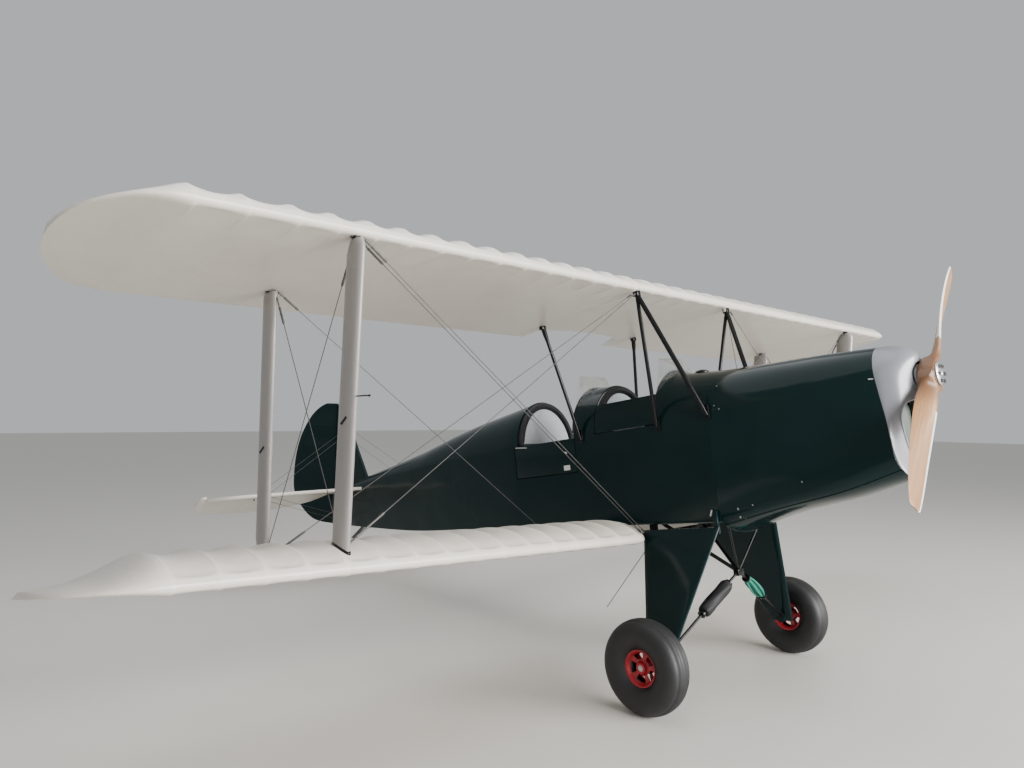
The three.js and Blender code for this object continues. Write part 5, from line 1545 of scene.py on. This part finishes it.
def make_wheel(name, side):
    body = "wheel_" + name
    centre = Vector((0, HALF_TRACK, 0))
    half = [(h, r) for r, h in curve(TYRE_ROWS, 3)]
    tyre = Piece()
    tyre.lathe(half + [(-h, r) for h, r in reversed(half[:-1])], centre, PORT, 96, closed=True)
    for vert in tyre.bm.verts:
        out = math.hypot(vert.co.x, vert.co.z)
        across = abs(vert.co.y - HALF_TRACK)
        for groove in (0.012, 0.034, 0.052):
            if abs(across - groove) < 0.0045 and out > 0.25:
                vert.co.x *= 1 - 0.012
                vert.co.z *= 1 - 0.012
    tyre.done("tyre_rubber_" + name, body, finish_of(tyre_rubber), "tyre_rubber", ("tyre_" + name,),
              side=side)
    hub = Piece()
    for face in (1, -1):
        before = set(hub.bm.faces)
        hub.lathe([(h * face, r) for h, r in curve(DISC_ROWS, 2)], centre, PORT, 60, start=FORWARD)
        gone = []
        for part in hub.bm.faces:
            if part in before:
                continue
            middle = part.calc_center_median()
            out = math.hypot(middle.x, middle.z)
            turned = (math.atan2(middle.z, middle.x) * DISC_SPOKES / (2 * math.pi)) % 1
            if 0.044 < out < 0.084 and 0.17 < turned < 0.83:
                gone.append(part)
        bmesh.ops.delete(hub.bm, geom=gone, context="FACES")
    piece = hub.done("wheel_disc_" + name, body, finish_of(hub_plastic), "hub_red",
                     ("wheel_hub_" + name,), side=side)
    thicken(piece, 0.005, offset=0)
    trim = Piece()
    trim.lathe([(-0.050, 0.0175), (-0.050, 0.030), (-0.044, 0.033), (0.044, 0.033), (0.050, 0.030),
                (0.050, 0.0175)], centre, PORT, 32, closed=True)
    for face in (1, -1):
        edge = [(0.048, 0.0965), (0.055, 0.0985), (0.056, 0.105), (0.050, 0.1055)]
        trim.lathe([(h * face, r) for h, r in edge], centre, PORT, 64, closed=True)
    trim.done("wheel_rim_" + name, body, finish_of(hub_plastic), "hub_red", side=side)


# Tail

TAIL_HINGE = Vector((-4.790, 0, 1.280))
HINGE_RAKE = 0.183
HINGE_FOOT = Vector((-4.860, 0, 1.308))
HINGE_AXIS = Vector((HINGE_RAKE, 0, 1)).normalized()
HINGE_AFT = Vector((-1, 0, HINGE_RAKE)).normalized()
RUDDER_REST = 17.5
ELEVATOR_REST = 18.0
FIN_RIB_PITCH = 0.24
FIN_FOOT = 1.30
TAIL_RIB_PITCH = 0.25
TAIL_TAPE_HALF = 0.011
# Columns: distance aft of the hinge, height along it
RUDDER_EDGE = [(0.020, 0.986), (0.147, 0.984), (0.338, 0.875), (0.514, 0.634), (0.597, 0.395),
               (0.625, 0.159), (0.609, -0.065), (0.477, -0.240), (0.309, -0.348), (0.120, -0.376),
               (0.020, -0.374)]
# Edges on the left side. Columns: y, x
TAILPLANE_FRONT = [(0, -4.110), (0.12, -4.125), (0.6, -4.180), (1.05, -4.232), (1.25, -4.275),
                   (1.38, -4.365), (1.45, -4.50), (1.49, -4.66), (1.50, -4.765)]
ELEVATOR_BACK = [(0.130, -4.815), (0.16, -4.88), (0.24, -5.00), (0.40, -5.105), (0.60, -5.170),
                 (0.80, -5.193), (1.05, -5.196), (1.25, -5.188), (1.40, -5.14), (1.50, -5.05),
                 (1.545, -4.95), (1.560, -4.85), (1.562, -4.79)]
HORN_FRONT = [(1.512, -4.692), (1.535, -4.697), (1.552, -4.720), (1.562, -4.780)]
# Front edge of the fin. Columns: z, x
FIN_FRONT = [(1.30, -4.112), (1.38, -4.142), (1.55, -4.225), (1.735, -4.318), (1.90, -4.392),
             (2.05, -4.470), (2.15, -4.545), (2.22, -4.610), (2.262, -4.655)]


def thin_section(front, back, half, sag):
    """Section of a thin fabric surface with round edges. Rows: distance, height."""
    reach = abs(back - front)
    direction = 1 if back > front else -1
    edge = min(half, reach * 0.48)
    ends = [(edge * (1 - math.cos(a)), half * math.sin(a)) for a in steps(5, 0, math.pi / 2)]
    middle = [(lerp(edge, reach - edge, share), half - sag * ramp(min(share, 1 - share), 0.0, 0.2))
              for share in steps(9)[1:-1]]
    upper = ends + middle + [(reach - d, h) for d, h in reversed(ends)]
    lower = [(d, -h) for d, h in reversed(upper[1:-1])]
    return [(front + direction * d, h) for d, h in upper + lower]


def tail_bay(value, pitch, start):
    share = ((value - start) / pitch) % 1
    return 4 * share * (1 - share)


def plane_stations(start, stop, pitch, first):
    """Stations with the ribs among them, closer together near both ends."""
    found = {start, stop}
    number = math.ceil((start - first) / pitch)
    while first + number * pitch < stop:
        rib = first + number * pitch
        near = {rib + pitch * share for share in (-0.08, -0.03, 0, 0.03, 0.08, 0.25, 0.5, 0.75)}
        found |= {value for value in near if start < value < stop}
        number += 1
    middle = (start + stop) / 2
    half = (stop - start) / 2
    found |= {middle - half * math.cos(angle) for angle in steps(44, 0, math.pi)}
    ordered = sorted(found)
    pairs = zip(ordered, ordered[1:] + [math.inf])
    return [value for value, after in pairs if after - value > 0.0008]


def edge_at(rows, value):
    """Interpolates the smooth edge through some rows, by the value of its first column."""
    return column(curve(rows, 6), 0, value, 1)


def tailplane_front(y):
    return edge_at(TAILPLANE_FRONT, y)


def tailplane_back(y):
    return TAIL_HINGE.x + 0.021


def elevator_front(y):
    if y <= HORN_FRONT[0][0]:
        return TAIL_HINGE.x + 0.014
    return edge_at(HORN_FRONT, y)


def elevator_back(y):
    return edge_at(ELEVATOR_BACK, y)


def tail_sheet(start, stop, front, back, half):
    """A level fabric surface of the tail's left side, with a tape on each rib."""
    sheet = Piece()
    stations = plane_stations(start, stop, TAIL_RIB_PITCH, 0.0)
    rings = []
    marks = []
    for y in stations:
        sag = sizes().tail_sag * tail_bay(y, TAIL_RIB_PITCH, 0.0)
        section = thin_section(front(y), back(y), half, sag)
        rings.append([Vector((x, y, TAIL_HINGE.z + h)) for x, h in section])
        beside = min(y % TAIL_RIB_PITCH, TAIL_RIB_PITCH - y % TAIL_RIB_PITCH)
        marks.append(1.0 if beside < TAIL_TAPE_HALF else 0.0)
    sheet.loft(rings, marks=marks)
    return sheet


def make_tailplane():
    fabric = finish_of(doped_fabric)
    for name, side in SIDES:
        plane = tail_sheet(0.0, 1.499, tailplane_front, tailplane_back, 0.017)
        stands = ("tailplane",) if side > 0 else ()
        plane.done("tailplane_skin_" + name, "airframe", fabric, "cream_fabric", stands, side=side, crease=60)
        flap = tail_sheet(0.131, 1.561, elevator_front, elevator_back, 0.014)
        flap.turn(turn_about(TAIL_HINGE, PORT, -ELEVATOR_REST))
        stands = ("elevator",) if side > 0 else ()
        flap.done("elevator_skin_" + name, "elevator", fabric, "cream_fabric", stands, side=side, crease=60)
    tube = Piece()
    tube.rod(TAIL_HINGE - PORT * 0.16, TAIL_HINGE + PORT * 0.16, 0.013, sides=16)
    tube.done("elevator_tube", "elevator", finish_of(gloss_black), "black_steel")


def hinge_x(z):
    return HINGE_FOOT.x + (z - HINGE_FOOT.z) * HINGE_RAKE


def make_fin_and_rudder():
    paint = finish_of(gloss_green)
    sag = sizes().tail_sag
    fin = Piece()
    rings = []
    for z in plane_stations(FIN_FOOT, FIN_FRONT[-1][0], FIN_RIB_PITCH, FIN_FOOT):
        section = thin_section(edge_at(FIN_FRONT, z), hinge_x(z) + 0.034, 0.018,
                               sag * tail_bay(z, FIN_RIB_PITCH, FIN_FOOT))
        rings.append([Vector((x, h, z)) for x, h in section])
    fin.loft(rings)
    fin.done("fin_skin", "airframe", paint, "dark_green", ("fin",), crease=60)
    rudder = Piece()
    edge = curve(RUDDER_EDGE, 8)
    rings = []
    for height in plane_stations(-0.3745, 0.985, FIN_RIB_PITCH, 0.0):
        section = thin_section(-0.010, column(edge, 1, height, 0), 0.016,
                               sag * tail_bay(height, FIN_RIB_PITCH, 0.0))
        rings.append([HINGE_FOOT + HINGE_AFT * d + HINGE_AXIS * height + PORT * h for d, h in section])
    rudder.loft(rings)
    rudder.turn(turn_about(HINGE_FOOT, HINGE_AXIS, RUDDER_REST))
    rudder.done("rudder_skin", "rudder", paint, "dark_green", ("rudder",), crease=60)


def make_tail_wires(name, side):
    wires = Piece()
    thin = sizes().wire * 0.8
    # Columns: x on the tailplane, x on the fin
    for x, top in ((-4.42, -4.42), (-4.72, -4.64)):
        spot = Vector((x, 1.02, TAIL_HINGE.z))
        wires.rod(spot, (top, 0.012, 1.93), thin, sides=8)
        wires.rod(spot, (x, 0.07, 0.98), thin, sides=8)
        for z in (-0.018, 0.018):
            wires.rod(spot + UP * z, spot + UP * (z * 1.8), 0.009, sides=10)
    wires.done("tail_wires_" + name, "airframe", finish_of(dull_steel), "bare_steel", side=side)


# Small fittings that show in the photograph's view

# Columns: x, y, z, radius of a screw or rivet on the right side
SCREWS = [(0.329, -0.262, 1.612, 0.004), (0.328, -0.321, 1.485, 0.004), (0.361, -0.322, 1.459, 0.004),
          (0.495, -0.311, 0.857, 0.004), (0.451, -0.208, 0.767, 0.004), (0.860, -0.272, 0.953, 0.004),
          (1.225, -0.217, 1.063, 0.004), (0.180, -0.420, 0.619, 0.006)]
# Ends of the latches along the tray's seam and on the hood
LATCHES = [((0.399, -0.320, 0.845), (0.386, -0.280, 0.784)), ((0.807, -0.278, 0.974), (0.815, -0.269, 0.904)),
           ((1.221, -0.217, 1.079), (1.238, -0.200, 1.013)), ((1.240, -0.215, 1.495), (1.266, -0.213, 1.492))]


def make_fittings():
    steel = finish_of(bright_steel)
    small = Piece()
    for x, y, z, radius in SCREWS:
        small.rod((x, y + 0.004, z), (x, y - 0.003, z), radius, sides=10)
    for start, end in LATCHES:
        small.rod(Vector(start) - PORT * 0.003, Vector(end) - PORT * 0.003, 0.0045, sides=8)
    small.rod((0.230, -0.336, 0.842), (0.214, -0.340, 0.806), 0.012, 0.007, sides=10)
    small.rod((-1.478, -BODY_HALF - 0.004, 1.418), (-1.354, -BODY_HALF - 0.004, 1.406), 0.005, sides=8)
    small.done("body_fittings", "airframe", steel, "bare_steel")
    label = Piece()
    label.box((-0.985, -BODY_HALF - 0.0012, 1.196), (-0.925, -BODY_HALF + 0.002, 1.232))
    label.rod((-0.958, -BODY_HALF - 0.004, 1.330), (-0.940, -BODY_HALF - 0.004, 1.322), 0.004, sides=8)
    label.done("rear_door_plate", "rear_door", finish_of(edge_strip), "bare_steel")
    dark = Piece()
    dark.lathe([(-0.012, 0), (-0.012, 0.050), (0.008, 0.049), (0.018, 0.036), (0.023, 0.014), (0.024, 0)],
               (0.074, 0, 1.754), UP, 32)
    dark.rod((-0.262, -0.430, 0.600), (-0.655, -0.400, 0.234), 0.0025, sides=8)
    rise = COAMING_TOP - LONGERON
    for rim in (FRONT_RIM, REAR_RIM):
        path = [(rim - 0.002, (BODY_HALF - 0.004) * math.cos(a), LONGERON + rise * math.sin(a))
                for a in steps(40, 0.10, math.pi - 0.10)]
        dark.tube(path, 0.0085, 8)
    pin = [(-0.076, 1.552), (0.010, 1.541), (0.034, 1.537)]
    dark.tube([(x, -STRUT_STATION, z) for x, z in pin], 0.0035, 8)
    dark.ball((0.036, -STRUT_STATION, 1.537), 0.006)
    dark.done("dark_fittings", "airframe", finish_of(gloss_black), "black_steel")


# Dressing of the frame's own solids that stay in view

def dress_frame():
    rows = [("engine_block", cast_metal), ("spar_tube_front", gloss_black), ("spar_tube_rear", gloss_black),
            ("tail_spring", dull_steel), ("tail_fork", gloss_black), ("tail_wheel", tyre_rubber)]
    for node, maker in rows:
        solid = frame["nodes"][node]
        solid.data.materials.clear()
        solid.data.materials.append(finish_of(maker))


# Stage

def area_light(name, place, aim, size, power, shade=(1, 1, 1)):
    data = bpy.data.lights.new(name, "AREA")
    data.shape = "RECTANGLE"
    data.size, data.size_y = size
    data.energy = power
    data.color = shade
    light = bpy.data.objects.new(name, data)
    light.location = place
    light.rotation_euler = (Vector(aim) - Vector(place)).to_track_quat("-Z", "Y").to_euler()
    bpy.context.scene.collection.objects.link(light)


def make_camera():
    data = bpy.data.cameras.new("camera")
    data.sensor_width = SENSOR
    data.lens = FOCAL_PIXELS / PICTURE_WIDTH * SENSOR
    data.clip_end = 200
    camera = bpy.data.objects.new("camera", data)
    level = math.cos(CAMERA_PITCH)
    ahead = Vector((math.cos(CAMERA_YAW) * level, math.sin(CAMERA_YAW) * level, math.sin(CAMERA_PITCH)))
    right = ahead.cross(UP).normalized()
    top = right.cross(ahead)
    across = right * math.cos(CAMERA_ROLL) + top * math.sin(CAMERA_ROLL)
    above = top * math.cos(CAMERA_ROLL) - right * math.sin(CAMERA_ROLL)
    turn = Matrix((across, above, -ahead)).transposed().to_4x4()
    camera.matrix_world = Matrix.Translation(CAMERA_PLACE) @ turn
    bpy.context.scene.collection.objects.link(camera)
    bpy.context.scene.camera = camera


def studio_floor(paint):
    made = Finish("studio_floor")
    cloud = made.noise(1.2, 3.0)
    base = made.mix(cloud, tint(paint.floor, 0.97), tint(paint.floor, 1.03))
    return made.done(Base_Color=base, Roughness=0.42 + cloud * 0.08)


def make_stage():
    make_camera()
    stage = bpy.context.scene.biplane_stage
    bm = bmesh.new()
    bmesh.ops.create_grid(bm, x_segments=1, y_segments=1, size=60)
    mesh = bpy.data.meshes.new("floor")
    bm.to_mesh(mesh)
    bm.free()
    mesh.materials.append(finish_of(studio_floor))
    floor = bpy.data.objects.new("floor", mesh)
    bpy.context.scene.collection.objects.link(floor)
    world = bpy.data.worlds.new("studio")
    world.use_nodes = True
    backdrop = world.node_tree.nodes["Background"]
    backdrop.inputs["Color"].default_value = (0.86, 0.88, 0.90, 1)
    backdrop.inputs["Strength"].default_value = stage.air
    bpy.context.scene.world = world
    area_light("window", (13.0, 1.5, 4.2), (0.0, -0.5, 1.3), (12.0, 5.0), stage.window_power,
               (1.0, 0.99, 0.97))
    area_light("ceiling", (-0.5, -0.5, 7.0), (0.0, 0.0, 0.0), (9.0, 7.0), stage.ceiling_power,
               (0.98, 0.99, 1.0))


# Operators

def made_all(context, count):
    """Raises an error if a step added no object."""
    if len(context.scene.objects) <= count:
        raise RuntimeError("no piece was made")
    return {"FINISHED"}


class BiplaneOperator:
    """What every step shares: it runs its makers and checks that they left pieces."""
    bl_options = {"REGISTER", "UNDO"}
    makers = ()
    handed_makers = ()

    def execute(self, context):
        count = len(context.scene.objects)
        for maker in self.makers:
            maker()
        for maker in self.handed_makers:
            for name, side in SIDES:
                maker(name, side)
        return made_all(context, count)


class BIPLANE_OT_stage(BiplaneOperator, bpy.types.Operator):
    """Sets the camera, the floor and the studio lights"""
    bl_idname = "biplane.stage"
    bl_label = "Stage"
    makers = (make_stage,)


class BIPLANE_OT_wings(BiplaneOperator, bpy.types.Operator):
    """Covers both wings and the ailerons with sagging fabric"""
    bl_idname = "biplane.wings"
    bl_label = "Wings"
    makers = (make_centre_section,)
    handed_makers = (make_upper_wing, make_lower_wing, make_aileron)


class BIPLANE_OT_cowling(BiplaneOperator, bpy.types.Operator):
    """Models the hood, the belly tray and the nose bowl"""
    bl_idname = "biplane.cowling"
    bl_label = "Cowling"
    makers = (make_cowling, make_nose_bowl)


class BIPLANE_OT_fuselage(BiplaneOperator, bpy.types.Operator):
    """Models the fuselage skin, the cockpit floors and the doors"""
    bl_idname = "biplane.fuselage"
    bl_label = "Fuselage"
    makers = (make_fuselage, make_cockpit_floors, make_doors)


class BIPLANE_OT_cockpits(BiplaneOperator, bpy.types.Operator):
    """Fits seats, rims, windscreens and controls"""
    bl_idname = "biplane.cockpits"
    bl_label = "Cockpits"
    makers = (make_seat_backs, make_cushions, make_windscreens, make_controls)


class BIPLANE_OT_propeller(BiplaneOperator, bpy.types.Operator):
    """Carves the propeller and bolts on its plate"""
    bl_idname = "biplane.propeller"
    bl_label = "Propeller"
    makers = (make_propeller,)


class BIPLANE_OT_rigging(BiplaneOperator, bpy.types.Operator):
    """Sets up the struts, the cabane and the wires"""
    bl_idname = "biplane.rigging"
    bl_label = "Struts and Rigging"
    handed_makers = (make_struts, make_cabane, make_stays)


class BIPLANE_OT_gear(BiplaneOperator, bpy.types.Operator):
    """Builds the legs, the shock struts and the wheels"""
    bl_idname = "biplane.gear"
    bl_label = "Gear"
    makers = (make_pyramid, make_shock_struts, dress_frame)
    handed_makers = (make_gear_leg, make_wheel)


class BIPLANE_OT_tail(BiplaneOperator, bpy.types.Operator):
    """Covers the tailplane, the elevator, the fin and the rudder"""
    bl_idname = "biplane.tail"
    bl_label = "Tail"
    makers = (make_tailplane, make_fin_and_rudder)
    handed_makers = (make_tail_wires,)


class BIPLANE_OT_fittings(BiplaneOperator, bpy.types.Operator):
    """Adds the screws, latches and other small fittings"""
    bl_idname = "biplane.fittings"
    bl_label = "Fittings"
    makers = (make_fittings,)


OPERATORS = (BIPLANE_OT_stage, BIPLANE_OT_wings, BIPLANE_OT_cowling, BIPLANE_OT_fuselage, BIPLANE_OT_cockpits,
             BIPLANE_OT_propeller, BIPLANE_OT_rigging, BIPLANE_OT_gear, BIPLANE_OT_tail,
             BIPLANE_OT_fittings)


class BIPLANE_PT_panel(bpy.types.Panel):
    """Lists the steps that build the biplane"""
    bl_label = "Biplane"
    bl_idname = "BIPLANE_PT_panel"
    bl_space_type = "VIEW_3D"
    bl_region_type = "UI"
    bl_category = "Biplane"

    def draw(self, context):
        for operator in OPERATORS:
            self.layout.operator(operator.bl_idname)
        for group, kind in GROUPS.items():
            box = self.layout.box()
            for name in kind.__annotations__:
                box.prop(getattr(context.scene, group), name)


CLASSES = (*GROUPS.values(), *OPERATORS, BIPLANE_PT_panel)


def register():
    for kind in CLASSES:
        bpy.utils.register_class(kind)
    for name, kind in GROUPS.items():
        setattr(bpy.types.Scene, name, bpy.props.PointerProperty(type=kind))


def unregister():
    for name in GROUPS:
        delattr(bpy.types.Scene, name)
    for kind in reversed(CLASSES):
        bpy.utils.unregister_class(kind)


def main():
    register()
    for operator in OPERATORS:
        getattr(bpy.ops.biplane, operator.bl_idname.split(".")[1])()
    bpy.context.view_layer.update()


if __name__ == "__main__":
    main()
